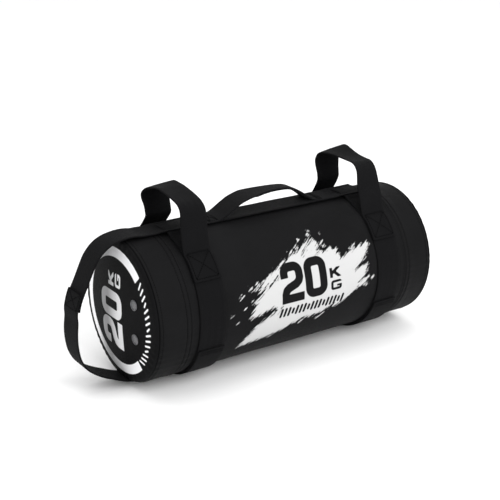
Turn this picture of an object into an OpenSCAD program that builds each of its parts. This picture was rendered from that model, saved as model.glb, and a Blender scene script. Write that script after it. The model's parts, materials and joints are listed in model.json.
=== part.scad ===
// Weighted training bag: a filled, coated-fabric tube lying on its side, with webbing bands,
// two standing cross loops, a folded centre handle on top and a carrying loop round one end.
// Millimetres, +Z up, +X along the tube. The origin is on the floor, at the middle of the whole
// object's box. Inside each module the tube's own axis is at zero, and placed() lifts it.

/* [Bag] */
// Outside diameter of the filled tube
bag_d = 220; // [180:1:280]
// Length of the tube between its two end seams
bag_l = 500; // [410:1:700]
// Thickness of the coated cover fabric
cover_t = 1.2; // [0.8:0.1:1.6]
// Length of the collar panel at each end
collar_l = 42; // [30:1:50]
// Lap of each collar over the tube panel
lap_l = 12; // [8:1:20]

/* [Domed ends] */
// Height of each domed end beyond its seam
dome_h = 12; // [9:0.5:20]
// Radius of the rounded rim at each end
rim_r = 5; // [4:0.5:7]
// Distance of the two vents from the middle of the end
vent_offset = 60; // [40:1:60]
// Angle of the upper vent above the front
upper_vent_angle = 26; // [15:1:50]
// Angle of the lower vent below the front
lower_vent_angle = 26; // [15:1:50]
// Outside radius of an eyelet's flange
eyelet_r = 8; // [8:0.5:10]
// Inside radius of an eyelet's barrel
vent_bore_r = 6; // [4:0.5:6.5]

/* [Webbing] */
// Width of all the webbing
webbing_w = 45; // [36:1:54]
// Thickness of one layer of webbing
webbing_t = 2.4; // [1.8:0.1:3]
// Thickness of the doubled webbing that is left under the bag where it rests
foot_t = 0.8; // [0.6:0.1:2]
// How much the bag's weight flattens the doubled webbing there
settle = 0.8; // [0.4:0.1:1.2]
// Distance of each band's middle from its end seam
band_inset = 87; // [84:1:110]
// Angle below the front at which each doubled stretch begins
doubled_from = 23; // [15:1:40]

/* [Cross loops] */
// Angle above the front at which a loop leaves its band
loop_foot_angle = 57; // [52:1:60]
// Angle above the front at which a loop's sewn tab ends
tab_end_angle = 30.5; // [24:0.5:36]
// Height of the loops above the top of the tube
loop_rise = 60; // [55:1:80]
// Height of the fixed stub under each pivot
stub_h = 5; // [4:0.5:8]
// How far a cross loop folds to each side
loop_fold = 40; // [20:1:42]

/* [Centre handle] */
// Distance from the left band's edge to the handle's left end
handle_left_gap = 30.5; // [10:0.5:40]
// Distance from the right band's edge to the handle's right end
handle_right_gap = 40.5; // [10:0.5:50]
// Length of each end sewn flat to the top strap
handle_tab_l = 16; // [12:1:20]
// Height of the grip's middle line above the tube
handle_rise = 31; // [28:1:36]
// Width of the folded grip
grip_w = 20; // [16:1:22]
// Thickness of the folded grip
grip_t = 5; // [4:0.5:6]
// Height of the handle's fold line above the top strap
handle_axis_rise = 7; // [6.5:0.5:8]

/* [End loop] */
// Reach of the end loop beyond the end seam
end_loop_reach = 85; // [80:1:100]
// Space between the end loop's round foot and the left band
end_loop_gap = 1; // [0.6:0.1:3]
// Length over which the end loop's two straps are sewn together
end_lap_l = 28; // [20:1:40]

/* [Filling] */
// Thickness of the foam wrapped round the filling
foam_t = 8; // [5:0.5:12]
// Thickness of the foam pad at each end
end_pad_t = 8; // [5:0.5:8]
// Wall of the woven sack round the sealed pods
sack_t = 0.6; // [0.4:0.1:1]

/* [Hidden] */

$fn = 96;

// Running gap between pieces on different bodies
clear_gap = 0.4;
// Gap between loose layers inside the cover
layer_gap = 0.3;
// Thickness of the seam tape and the seam bindings
tape_t = 0.8;
tape_w = 26;
binding_w = 6;
binding_t = 1.6;
// Thickness of the eyelets' flanges and of the screens
flange_t = 0.8;
screen_t = 0.4;
barrel_t = 1;
// Steps between two points of a bent strap's route
route_steps = 8;
// Sealed pods of sand and rubber granules in a row
pod_count = 4;
pod_edge_r = 10;

bag_r = bag_d / 2;
end_x = bag_l / 2;
seat_x = end_x - collar_l;
rest_drop = 2 * webbing_t + foot_t;
axis_z = bag_r + rest_drop;
half_w = webbing_w / 2;
strap_top = bag_r + webbing_t;
band_x = end_x - band_inset;
band_top = strap_top + webbing_t;
doubled_r = band_top + foot_t + settle;
// Half of the angle that a lengthways strap covers, seen along the tube
strap_half_angle = asin(half_w / bag_r);
// Half of the angle over which a band is lifted to cross such a strap
lifted_angle = strap_half_angle + 1.5;

// The dome's large arc meets the small arc of the rim without a corner
rim_c = bag_r - rim_r;
dome_r = (rim_c * rim_c + dome_h * dome_h - rim_r * rim_r) / (2 * (dome_h - rim_r));
dome_c = dome_h - dome_r;
dome_angle = atan2(rim_c, -dome_c);

// Layers inside the cover, from the outside in
foam_r = bag_r - 2 * cover_t - tape_t - layer_gap;
foam_half_l = end_x - 12;
sack_r = foam_r - foam_t - layer_gap;
sack_half_l = end_x - 1 - end_pad_t - layer_gap;
pod_r = sack_r - sack_t - layer_gap;
pod_pitch = 2 * (sack_half_l - sack_t) / pod_count;

// Where the webbing of a cross loop leaves its band
foot_r = strap_top + webbing_t / 2;
leg_y = foot_r * cos(loop_foot_angle);
foot_z = foot_r * sin(loop_foot_angle);
loop_axis_z = foot_z + half_w + stub_h;
loop_top = bag_r + loop_rise;

// Fold line of the centre handle, and the ends of its moving part
handle_axis_z = strap_top + handle_axis_rise;
handle_from = -band_x + half_w + handle_left_gap + handle_tab_l;
handle_to = band_x - half_w - handle_right_gap - handle_tab_l;
handle_l = handle_to - handle_from;
handle_foot_l = 17;
knuckle_w = 12;

// Pivot of the end loop
end_pivot_x = -band_x - end_loop_gap - webbing_w;

// A point on the smooth curve between route points i and i + 1
function bent(p, i, u) =
    let (a = p[max(i - 1, 0)], b = p[i], c = p[i + 1], d = p[min(i + 2, len(p) - 1)])
    0.5 * (2 * b + (c - a) * u + (2 * a - 5 * b + 4 * c - d) * u * u
        + (3 * b - a - 3 * c + d) * u * u * u);

// The whole smooth curve through the route points
function curve(p) = concat(
    [for (i = [0 : len(p) - 2], s = [0 : route_steps - 1]) bent(p, i, s / route_steps)],
    [p[len(p) - 1]]);

// The curve's left-hand normal at point i
function normal(c, i) =
    let (d = c[min(i + 1, len(c) - 1)] - c[max(i - 1, 0)])
    [-d[1], d[0]] / norm(d);

// The curve moved sideways by its own distance at each point
function beside(c, dist) = [for (i = [0 : len(c) - 1]) c[i] + normal(c, i) * dist[i]];

function reversed(c) = [for (i = [len(c) - 1 : -1 : 0]) c[i]];

function same(value, c) = [for (p = c) value];

// Outline of a domed end from its axis to its seam, moved in by a distance: a large arc over the
// middle, then the small arc of the rim
function dome_arcs(inset) = concat(
    [for (i = [0 : 13]) let (a = dome_angle * i / 14)
        [0, dome_c] + (dome_r - inset) * [sin(a), cos(a)]],
    [for (i = [0 : 6]) let (a = dome_angle + (90 - dome_angle) * i / 6)
        [rim_c, 0] + (rim_r - inset) * [sin(a), cos(a)]]);

// Route points of a cross loop, seen along the tube, front foot first
function loop_route(shape) = concat(
    [[-leg_y, foot_z], [-leg_y, foot_z + half_w - 10], [-leg_y, loop_axis_z + 8]],
    [for (p = shape) [p[0], loop_top + p[1]]],
    [[leg_y - 16, loop_axis_z + 4], [leg_y - 12, loop_axis_z - 8], [leg_y - 3, foot_z + 6],
     [leg_y, foot_z]]);

// Tops of the two loops: distance from the middle, and height measured from the loop's top
left_loop_shape = [[-leg_y + 6, -19], [-leg_y + 19, -11], [-22, -6], [2, 0], [26, -2],
    [leg_y - 19, -9], [leg_y - 13, -22]];
right_loop_shape = [[-leg_y + 9, -26], [-leg_y + 17, -11], [-leg_y + 30, -5], [-6, -3], [30, 0],
    [leg_y - 14, -3], [leg_y - 5, -18]];

// Route of the centre handle, seen from the front: its raised part as a share of its length and
// of its height, between two ends that lie on the top strap
handle_shape = [[0.08, 0.2], [0.22, 0.65], [0.35, 0.86], [0.5, 0.925], [0.72, 0.885], [0.85, 0.645],
    [0.944, 0.15]];
handle_route = concat(
    [[handle_from - handle_tab_l, 0], [handle_from - 4, 0]],
    [for (p = handle_shape) [handle_from + handle_l * p[0], handle_rise * p[1]]],
    [[handle_to + 4, 0], [handle_to + handle_tab_l, 0]]);

// Route of the end loop, seen from the front: share of its reach, and height over the tube's radius
end_loop_shape = [
    [0.14, 1.047], [0.36, 0.965], [0.56, 0.81], [0.76, 0.51], [0.90, 0.27],
    [0.965, 0], [0.985, -0.22], [0.96, -0.44], [0.84, -0.65], [0.56, -0.82], [0.24, -0.96]];
end_route_z = bag_r + clear_gap + webbing_t / 2;
end_loop_route = concat(
    [[end_pivot_x + half_w, end_route_z], [end_pivot_x, end_route_z],
     [-end_x + 8, end_route_z + 1]],
    [for (p = end_loop_shape) [-end_x - end_loop_reach * p[0], bag_r * p[1]]],
    [[-end_x - 3, -end_route_z - 0.3], [-end_x + 10, -end_route_z], [end_pivot_x, -end_route_z],
     [end_pivot_x + half_w, -end_route_z]]);
end_curve = curve(end_loop_route);
// The lower strap begins outside the upper one just above the middle
lap_start = 7 * route_steps;
// Whole steps of the curve that the sewn lap takes
lap_steps = max(2, round(end_lap_l / norm(end_curve[lap_start + 1] - end_curve[lap_start])));
lap_end = lap_start + lap_steps;
upper_curve = [for (i = [0 : lap_end]) end_curve[i]];
lower_curve = [for (i = [lap_start : len(end_curve) - 1]) end_curve[i]];
// Offset of the lower strap: outside the upper one along the lap, then in on the same line
step_in = [for (i = [0 : len(lower_curve) - 1])
    let (u = min(max((i - lap_steps - 1) / 5, 0), 1)) -webbing_t * (1 - u * u * (3 - 2 * u))];
lower_outside = beside(lower_curve, [for (d = step_in) d - webbing_t / 2]);
// The object's furthest point at the loop end
far_x = min([for (p = lower_outside) p[0]]);
box_shift = -(far_x + end_x + dome_h) / 2;

// Lifts the bag onto the floor and centres the whole object lengthways
module placed() {
    translate([box_shift, 0, axis_z]) children();
}

// Extrudes a cross-section, drawn as Y and Z, along X over a length centred at x
module across(x, length) {
    translate([x, 0, 0]) rotate([90, 0, 90]) linear_extrude(length, center = true) children();
}

// Extrudes a side view, drawn as X and Z, along Y over a width centred on the tube's axis
module sideways(width) {
    rotate([90, 0, 0]) linear_extrude(width, center = true) children();
}

// Turns an outline, drawn as radius and distance, about the tube's axis, towards +X from x
module turned(x) {
    translate([x, 0, 0]) rotate([0, 90, 0]) rotate_extrude() children();
}

// A plain tube along X between two radii
module sleeve(x0, x1, inner, outer) {
    turned(x0) translate([inner, 0]) square([outer - inner, x1 - x0]);
}

// Pie slice between two angles, measured from the front upwards, reaching radius r
module slice(from, to, r) {
    steps = ceil((to - from) / 20);
    reach = r / cos(10);
    polygon(concat([[0, 0]],
        [for (i = [0 : steps]) let (a = from + (to - from) * i / steps) [-cos(a), sin(a)] * reach]));
}

// Part of a flat ring between two radii and two angles
module ring_part(inner, outer, from, to) {
    intersection() {
        difference() {
            circle(outer);
            circle(inner);
        }
        slice(from, to, outer + 1);
    }
}

// Strap in side view: the strip between two distances from a curve
module strip(c, low, high) {
    polygon(concat(beside(c, high), reversed(beside(c, low))));
}

// Mirrors for the right-hand end
module right_hand() {
    mirror([1, 0, 0]) children();
}

module cover_colour() {
    color([0.13, 0.13, 0.14]) children();
}

module webbing_colour() {
    color([0.09, 0.09, 0.10]) children();
}

// Main panel: its ends step in and lie under the collars
module tube_panel() {
    cover_colour() placed() union() {
        sleeve(-seat_x, seat_x, bag_r - cover_t, bag_r);
        sleeve(-seat_x - lap_l, -seat_x + cover_t, bag_r - 2 * cover_t, bag_r - cover_t);
        sleeve(seat_x - cover_t, seat_x + lap_l, bag_r - 2 * cover_t, bag_r - cover_t);
    }
}

module collar() {
    sleeve(seat_x, end_x, bag_r - cover_t, bag_r);
}

module left_collar() {
    cover_colour() placed() right_hand() collar();
}

module right_collar() {
    cover_colour() placed() collar();
}

// Shell outline of a domed end: from its outer arcs to the same arcs moved in by the cover's
// thickness
module dome_outline() {
    polygon(concat(dome_arcs(0), reversed(dome_arcs(cover_t))));
}

// Puts a piece that is drawn about Z onto the right-hand dome's surface at both vents
module at_vents() {
    tilt = asin(vent_offset / dome_r);
    for (a = [-upper_vent_angle, lower_vent_angle])
        rotate([a, 0, 0]) translate([end_x + dome_c, 0, 0]) rotate([0, 0, -tilt])
            translate([dome_r, 0, 0]) rotate([0, 90, 0]) children();
}

module end_disc() {
    difference() {
        turned(end_x) dome_outline();
        at_vents() cylinder(r = vent_bore_r + barrel_t + 0.1, h = 12, center = true);
    }
}

module left_end_disc() {
    cover_colour() placed() right_hand() end_disc();
}

module right_end_disc() {
    cover_colour() placed() end_disc();
}

// Tape folded over the raw edges of an end seam, inside the bag
module seam_binding() {
    outer = bag_r - cover_t - 0.1;
    sleeve(end_x - binding_t, end_x, outer - binding_w, outer);
}

module left_seam_binding() {
    color([0.25, 0.25, 0.27]) placed() right_hand() seam_binding();
}

module right_seam_binding() {
    color([0.25, 0.25, 0.27]) placed() seam_binding();
}

// Tape inside the closing seam of the rolled tube panel, along the bottom
module tube_seam_tape() {
    outer = bag_r - 2 * cover_t;
    half_angle = asin(tape_w / 2 / outer);
    color([0.25, 0.25, 0.27]) placed()
        across(0, 2 * seat_x) ring_part(outer - tape_t, outer, -90 - half_angle, -90 + half_angle);
}

// Eyelet: a flange with a rounded edge outside the cover, and a barrel through it
module vent_eyelets() {
    at_vents() translate([0, 0, 0.1]) rotate_extrude() {
        translate([vent_bore_r, 0]) square([eyelet_r - vent_bore_r - flange_t, flange_t]);
        translate([eyelet_r - flange_t, 0]) intersection() {
            circle(flange_t);
            square(flange_t);
        }
        translate([vent_bore_r, -cover_t - 1.6]) square([barrel_t, cover_t + 1.6]);
    }
}

module left_vent_eyelets() {
    color([0.45, 0.46, 0.48]) placed() right_hand() vent_eyelets();
}

module right_vent_eyelets() {
    color([0.45, 0.46, 0.48]) placed() vent_eyelets();
}

// Fine mesh disc held inside the barrel
module vent_screens() {
    at_vents() translate([0, 0, -cover_t]) cylinder(r = vent_bore_r, h = screen_t);
}

module left_vent_screens() {
    color([0.35, 0.36, 0.38]) placed() right_hand() vent_screens();
}

module right_vent_screens() {
    color([0.35, 0.36, 0.38]) placed() vent_screens();
}

// Washer that the barrel is closed over, behind the cover
module vent_washers() {
    at_vents() translate([0, 0, -cover_t - 0.9]) difference() {
        cylinder(r = eyelet_r + 1, h = 0.6);
        translate([0, 0, -1]) cylinder(r = vent_bore_r + barrel_t, h = 3);
    }
}

module left_vent_washers() {
    color([0.45, 0.46, 0.48]) placed() right_hand() vent_washers();
}

module right_vent_washers() {
    color([0.45, 0.46, 0.48]) placed() vent_washers();
}

// Foam sheet rolled round the filling: its two edges meet at a slit along the top
module foam_wrap() {
    color([0.75, 0.75, 0.72]) placed() difference() {
        sleeve(-foam_half_l, foam_half_l, foam_r - foam_t, foam_r);
        translate([0, 0, foam_r]) cube([2 * foam_half_l + 2, 1, 2 * foam_t + 2], center = true);
    }
}

module foam_pad() {
    sleeve(end_x - 1 - end_pad_t, end_x - 1, 0, bag_r - cover_t - binding_w - 1);
}

module left_foam_pad() {
    color([0.75, 0.75, 0.72]) placed() right_hand() foam_pad();
}

module right_foam_pad() {
    color([0.75, 0.75, 0.72]) placed() foam_pad();
}

module liner_sack() {
    color([0.85, 0.85, 0.80]) placed() difference() {
        sleeve(-sack_half_l, sack_half_l, 0, sack_r);
        sleeve(-sack_half_l + sack_t, sack_half_l - sack_t, 0, sack_r - sack_t);
    }
}

// One sealed pod of filling, number i from the left
module pod(i) {
    x = -sack_half_l + sack_t + i * pod_pitch + layer_gap;
    length = pod_pitch - 2 * layer_gap;
    color([0.55, 0.45, 0.30]) placed() turned(x) {
        square([pod_r - pod_edge_r, length]);
        translate([0, pod_edge_r]) square([pod_r, length - 2 * pod_edge_r]);
        for (z = [pod_edge_r, length - pod_edge_r])
            translate([pod_r - pod_edge_r, z]) circle(pod_edge_r);
    }
}

// Lengthways strap on top, from the end loop's pivot to under the right-hand band
module top_strap() {
    webbing_colour() placed() difference() {
        across(0, 2 * (band_x + half_w))
            ring_part(bag_r, strap_top, 90 - strap_half_angle, 90 + strap_half_angle);
        translate([end_pivot_x, 0, bag_r - 10]) cylinder(r = half_w + clear_gap, h = 20);
    }
}

// Its continuation under the bag
module bottom_strap() {
    webbing_colour() placed() difference() {
        across(0, 2 * (band_x + half_w))
            ring_part(bag_r, strap_top, -90 - strap_half_angle, -90 + strap_half_angle);
        translate([end_pivot_x, 0, -bag_r - 10]) cylinder(r = half_w + clear_gap, h = 20);
    }
}

// Band round the tube, lifted where it crosses the two lengthways straps
module band(x) {
    across(x, webbing_w) {
        difference() {
            circle(strap_top);
            circle(bag_r);
            slice(90 - strap_half_angle, 90 + strap_half_angle, strap_top + 1);
            slice(-90 - strap_half_angle, -90 + strap_half_angle, strap_top + 1);
        }
        for (a = [-90, 90])
            ring_part(strap_top, band_top, a - lifted_angle, a + lifted_angle);
    }
}

module left_band() {
    webbing_colour() placed() band(-band_x);
}

module right_band() {
    webbing_colour() placed() band(band_x);
}

// Doubled webbing sewn under a band, flattened where the bag rests on the floor
module doubling(x) {
    across(x, webbing_w) difference() {
        ring_part(strap_top, doubled_r, -180 + doubled_from, -doubled_from);
        ring_part(bag_r, band_top, -90 - lifted_angle, -90 + lifted_angle);
        translate([-bag_r, -axis_z - bag_r]) square([2 * bag_r, bag_r]);
    }
}

module left_band_doubling() {
    webbing_colour() placed() doubling(-band_x);
}

module right_band_doubling() {
    webbing_colour() placed() doubling(band_x);
}

// Space that a cross loop's round foot and folding legs need, seen from the front
module loop_travel(x, side) {
    r = half_w + clear_gap;
    translate([x, side * leg_y, loop_axis_z]) rotate([90, 0, 0])
        linear_extrude(2 * leg_y, center = true) {
            circle(r);
            for (a = [-loop_fold, 0, loop_fold])
                rotate(a) translate([-r, 0]) square([2 * r, 4 * half_w]);
        }
}

// Whole webbing of a cross loop, from foot to foot
module loop_strip(x, shape) {
    c = curve(loop_route(shape));
    across(x, webbing_w) strip(c, same(-webbing_t / 2, c), same(webbing_t / 2, c));
}

// Fixed foot of a cross loop: a tab sewn to the band, and a short stub up to the pivot
module loop_foot(x, shape, side) {
    from = side < 0 ? tab_end_angle : 180 - loop_foot_angle;
    to = side < 0 ? loop_foot_angle : 180 - tab_end_angle;
    across(x, webbing_w) ring_part(strap_top, band_top, from, to);
    difference() {
        intersection() {
            loop_strip(x, shape);
            translate([x, side * leg_y, foot_z + half_w / 2 + 4])
                cube([webbing_w, 1.6 * leg_y, half_w + 8], center = true);
        }
        loop_travel(x, side);
    }
}

module left_loop_front_foot() {
    webbing_colour() placed() loop_foot(-band_x, left_loop_shape, -1);
}

module left_loop_back_foot() {
    webbing_colour() placed() loop_foot(-band_x, left_loop_shape, 1);
}

module right_loop_front_foot() {
    webbing_colour() placed() loop_foot(band_x, right_loop_shape, -1);
}

module right_loop_back_foot() {
    webbing_colour() placed() loop_foot(band_x, right_loop_shape, 1);
}

// Moving part of a cross loop: each foot ends in a round about the pivot
module loop_webbing(x, shape) {
    intersection() {
        loop_strip(x, shape);
        translate([x, 0, loop_axis_z]) rotate([90, 0, 0])
            linear_extrude(4 * leg_y, center = true) {
                circle(half_w);
                translate([-half_w, 0]) square([webbing_w, 2 * loop_rise]);
            }
    }
}

module left_loop_webbing() {
    webbing_colour() placed() loop_webbing(-band_x, left_loop_shape);
}

module right_loop_webbing() {
    webbing_colour() placed() loop_webbing(band_x, right_loop_shape);
}

// Centre handle in side view, lying on the top strap at its two ends
module handle_strip(extra) {
    c = curve([for (p = handle_route) [p[0], strap_top + webbing_t / 2 + p[1]]]);
    half = [for (p = c) webbing_t / 2 + extra];
    strip(c, same(-webbing_t / 2, c), half);
}

// Fixed foot of the centre handle: full width on the strap, gathered towards the fold line
module handle_foot(side, at) {
    knuckle = at - side * handle_foot_l;
    intersection() {
        sideways(webbing_w) handle_strip(0);
        translate([0, 0, strap_top]) linear_extrude(bag_r) polygon([
            [at + side * (handle_tab_l + 1), -half_w], [at + side * (handle_tab_l + 1), half_w],
            [at, half_w], [knuckle, knuckle_w / 2], [knuckle, -knuckle_w / 2], [at, -half_w]]);
    }
}

module handle_left_foot() {
    webbing_colour() placed() handle_foot(-1, handle_from);
}

module handle_right_foot() {
    webbing_colour() placed() handle_foot(1, handle_to);
}

// Moving grip: webbing folded to a narrow, thick strip
module handle_grip() {
    from = handle_from + handle_foot_l + clear_gap;
    to = handle_to - handle_foot_l - clear_gap;
    taper = 24;
    webbing_colour() placed() intersection() {
        sideways(grip_w) handle_strip(grip_t - webbing_t);
        translate([0, 0, bag_r]) linear_extrude(bag_r) polygon([
            [from, -knuckle_w / 2], [from + taper, -grip_w / 2], [to - taper, -grip_w / 2],
            [to, -knuckle_w / 2], [to, knuckle_w / 2], [to - taper, grip_w / 2],
            [from + taper, grip_w / 2], [from, knuckle_w / 2]]);
    }
}

// Plan of the end loop: as wide as the webbing, with a round foot about the pivot
module end_loop_plan() {
    translate([end_pivot_x, 0, -2 * bag_r]) linear_extrude(4 * bag_r) {
        circle(half_w);
        translate([-2 * bag_r, -half_w]) square([2 * bag_r, webbing_w]);
    }
}

module end_loop_upper_strap() {
    c = upper_curve;
    webbing_colour() placed() intersection() {
        sideways(webbing_w) strip(c, same(-webbing_t / 2, c), same(webbing_t / 2, c));
        end_loop_plan();
    }
}

module end_loop_lower_strap() {
    inside = beside(lower_curve, [for (d = step_in) d + webbing_t / 2]);
    webbing_colour() placed() intersection() {
        sideways(webbing_w) polygon(concat(inside, reversed(lower_outside)));
        end_loop_plan();
    }
}

tube_panel();
left_collar();
right_collar();
left_end_disc();
right_end_disc();
left_seam_binding();
right_seam_binding();
tube_seam_tape();
left_vent_eyelets();
right_vent_eyelets();
left_vent_screens();
right_vent_screens();
left_vent_washers();
right_vent_washers();
foam_wrap();
left_foam_pad();
right_foam_pad();
liner_sack();
pod(0);  // pod_1
pod(1);  // pod_2
pod(2);  // pod_3
pod(3);  // pod_4
top_strap();
bottom_strap();
left_band();
right_band();
left_band_doubling();
right_band_doubling();
left_loop_front_foot();
left_loop_back_foot();
right_loop_front_foot();
right_loop_back_foot();
left_loop_webbing();
right_loop_webbing();
handle_left_foot();
handle_right_foot();
handle_grip();
end_loop_upper_strap();
end_loop_lower_strap();
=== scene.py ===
"""Weighted training bag: the visual model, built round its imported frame.

Every length is in metres. A piece is worked out in the bag's own coordinates, with the tube's axis
at zero, X along the tube and Z up, and angles measured round the tube from the front (-Y) upwards.
"""
import json
import math

import bpy
import numpy as np
from bpy.props import FloatProperty, FloatVectorProperty, PointerProperty
from bpy.types import Operator, Panel, PropertyGroup
from mathutils import Matrix, Vector


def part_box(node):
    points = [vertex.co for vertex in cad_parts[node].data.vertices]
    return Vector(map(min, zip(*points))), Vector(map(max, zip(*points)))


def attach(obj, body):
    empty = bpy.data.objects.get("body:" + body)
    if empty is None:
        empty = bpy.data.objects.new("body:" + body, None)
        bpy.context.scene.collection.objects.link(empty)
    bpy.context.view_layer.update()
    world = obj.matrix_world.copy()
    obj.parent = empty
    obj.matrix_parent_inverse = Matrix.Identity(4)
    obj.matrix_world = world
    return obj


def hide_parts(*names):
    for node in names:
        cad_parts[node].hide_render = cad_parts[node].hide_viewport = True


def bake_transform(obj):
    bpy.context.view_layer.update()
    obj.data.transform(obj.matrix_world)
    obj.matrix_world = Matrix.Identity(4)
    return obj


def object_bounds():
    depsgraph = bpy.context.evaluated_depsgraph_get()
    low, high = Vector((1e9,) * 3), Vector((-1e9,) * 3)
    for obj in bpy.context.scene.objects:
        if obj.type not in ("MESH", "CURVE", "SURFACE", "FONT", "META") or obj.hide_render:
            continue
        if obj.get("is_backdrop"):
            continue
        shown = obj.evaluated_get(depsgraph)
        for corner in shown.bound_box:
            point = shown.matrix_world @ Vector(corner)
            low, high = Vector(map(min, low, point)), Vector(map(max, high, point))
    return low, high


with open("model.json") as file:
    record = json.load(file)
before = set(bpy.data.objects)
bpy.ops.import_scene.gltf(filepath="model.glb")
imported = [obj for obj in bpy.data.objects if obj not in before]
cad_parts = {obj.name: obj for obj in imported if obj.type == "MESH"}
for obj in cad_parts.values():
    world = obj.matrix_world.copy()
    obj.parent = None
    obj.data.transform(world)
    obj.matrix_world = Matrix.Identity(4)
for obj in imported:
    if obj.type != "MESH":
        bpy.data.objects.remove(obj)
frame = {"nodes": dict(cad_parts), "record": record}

bl_info = {
    "name": "Weighted Training Bag",
    "version": (1, 0, 0),
    "blender": (4, 5, 0),
    "location": "3D View > Sidebar > Training Bag",
    "description": "Builds the cover, webbing, prints and fittings of a weighted training bag",
    "category": "Add Mesh",
}

CAD_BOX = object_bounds()
MM = 0.001
TURN = 2 * math.pi
# Angles round the tube: its top, and its lowest line as the start and the end of a whole turn
TOP, LOWEST, LOWEST_AGAIN = math.pi / 2, -math.pi / 2, 1.5 * math.pi


def span(node):
    """Lowest and highest corner of a node of the frame, as an array."""
    return np.array([list(corner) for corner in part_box(node)])


TUBE = span("tube_panel")
AXIS = np.array([TUBE[:, 0].mean(), 0.0, TUBE[:, 2].mean()])
RADIUS = (TUBE[1, 2] - TUBE[0, 2]) / 2
SEAM_X = span("right_collar")[1, 0] - AXIS[0]
RING_SEAM_X = span("left_collar")[1, 0] - AXIS[0]
BAND = span("left_band")
BAND_X = abs(BAND[:, 0].mean() - AXIS[0])
WEBBING_W = BAND[1, 0] - BAND[0, 0]
STRAP_TOP = span("top_strap")[1, 2] - AXIS[2]
WEBBING_T = STRAP_TOP - RADIUS
DOME_H = span("right_end_disc")[1, 0] - AXIS[0] - SEAM_X
RIM_R = 5 * MM
# Where the rim of a domed end starts, and the radius of the sphere that its middle is part of
RIM_START = RADIUS - RIM_R
DOME_R = (RIM_START**2 + DOME_H**2 - RIM_R**2) / (2 * (DOME_H - RIM_R))
# Thickness of the cover round the tube, and over an end
COVER_T, END_COVER_T = 1.0 * MM, 1.1 * MM
# Places of the two stitched grooves beside a ring seam, measured from it towards the middle
RING_GROOVES = (2 * MM, 9 * MM)
# A distance for parts of the cover that carry no print
NO_PRINT = 50 * MM
FLOOR_Z = -AXIS[2]
SIDES = {"left": -1, "right": 1}
JOINTS = {joint["name"]: joint for joint in frame["record"]["behaviour"]["joints"]}


def joint_place(name):
    """A point on a joint's axis, in the frame's own coordinates."""
    return np.array(JOINTS[name]["pos_m"], float)


# ---------------------------------------------------------------------------------------------
# Sizes and colours that a user would change


class CoverSettings(PropertyGroup):
    """Fullness, folds and colour of the cover."""

    wave: FloatProperty(
        name="Waviness", description="Height of the long soft waves in the cover",
        default=0.9 * MM, min=0, max=2 * MM, unit="LENGTH")
    pucker: FloatProperty(
        name="Pucker", description="Height of the small folds along the seams",
        default=0.55 * MM, min=0, max=2 * MM, unit="LENGTH")
    squeeze: FloatProperty(
        name="Band squeeze", description="How far each band presses the cover in",
        default=0.7 * MM, min=0, max=2 * MM, unit="LENGTH")
    colour: FloatVectorProperty(
        name="Cover colour", description="Colour of the coated fabric",
        default=(0.0056, 0.0056, 0.0060), subtype="COLOR", min=0, max=1)
    roughness: FloatProperty(
        name="Roughness", description="Roughness of the coated fabric",
        default=0.58, min=0.05, max=1, subtype="FACTOR")


class WebbingSettings(PropertyGroup):
    """Thread, weave and colour of the webbing."""

    weave_pitch: FloatProperty(
        name="Weave pitch", description="Width of one rib of the weave",
        default=1.6 * MM, min=0.5 * MM, max=4 * MM, unit="LENGTH")
    colour: FloatVectorProperty(
        name="Webbing colour", description="Colour of the woven webbing",
        default=(0.0044, 0.0044, 0.0048), subtype="COLOR", min=0, max=1)
    stitch_pitch: FloatProperty(
        name="Stitch pitch", description="Distance from one stitch to the next",
        default=3.6 * MM, min=2 * MM, max=8 * MM, unit="LENGTH")
    thread_r: FloatProperty(
        name="Thread radius", description="Radius of the sewing thread",
        default=0.5 * MM, min=0.1 * MM, max=1 * MM, unit="LENGTH")


class PrintSettings(PropertyGroup):
    """Colours of the printed marks."""

    white: FloatVectorProperty(
        name="White ink", description="Colour of the brushed print on the front",
        default=(0.51, 0.51, 0.51), subtype="COLOR", min=0, max=1)
    silver: FloatVectorProperty(
        name="Silver ink", description="Colour of the print on the ends",
        default=(0.72, 0.72, 0.73), subtype="COLOR", min=0, max=1)


# ---------------------------------------------------------------------------------------------
# Arrays and meshes


def bump(t, width):
    """A smooth bump: 1 where t is 0, falling away as exp(-(t / width) squared)."""
    return np.exp(-((t / width) ** 2))


def ramp(t, start, end):
    """0 before start and 1 after end, with a smooth cubic rise between them."""
    u = np.clip((t - start) / (end - start), 0, 1)
    return u * u * (3 - 2 * u)


def around(x, angle, radius):
    """Points at x along the tube, at an angle above the front and a radius from its axis."""
    return np.stack(
        np.broadcast_arrays(x, -radius * np.cos(angle), radius * np.sin(angle)), axis=-1)


def unit(vectors):
    """Vectors scaled to length 1."""
    return vectors / np.maximum(np.linalg.norm(vectors, axis=-1, keepdims=True), 1e-12)


def lengths_along(path):
    """Distance along a path at each of its points."""
    return np.concatenate([[0], np.cumsum(np.linalg.norm(np.diff(path, axis=0), axis=1))])


def sampled(values, along, places):
    """Rows of values read off at places, where along holds each row's distance."""
    return np.stack([np.interp(places, along, column) for column in values.T], axis=1)


def smooth_path(points, step):
    """A smooth curve through points, resampled at an even step.

    Between two points p1 and p2, with neighbours p0 and p3, the curve is the cubic that passes
    through both and whose slope at each is half the chord between its neighbours.
    """
    p = np.asarray(points, float)
    p = np.vstack([2 * p[0] - p[1], p, 2 * p[-1] - p[-2]])
    u = np.linspace(0, 1, 24, endpoint=False)[None, :, None]
    a, b, c, d = (p[i : len(p) - 3 + i][:, None, :] for i in range(4))
    curve = 0.5 * (2 * b + (c - a) * u + (2 * a - 5 * b + 4 * c - d) * u**2
                   + (3 * b - a - 3 * c + d) * u**3)
    curve = np.vstack([curve.reshape(-1, p.shape[1]), p[-2]])
    along = lengths_along(curve)
    even = np.linspace(0, along[-1], max(2, int(round(along[-1] / step))) + 1)
    return sampled(curve, along, even)


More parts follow.
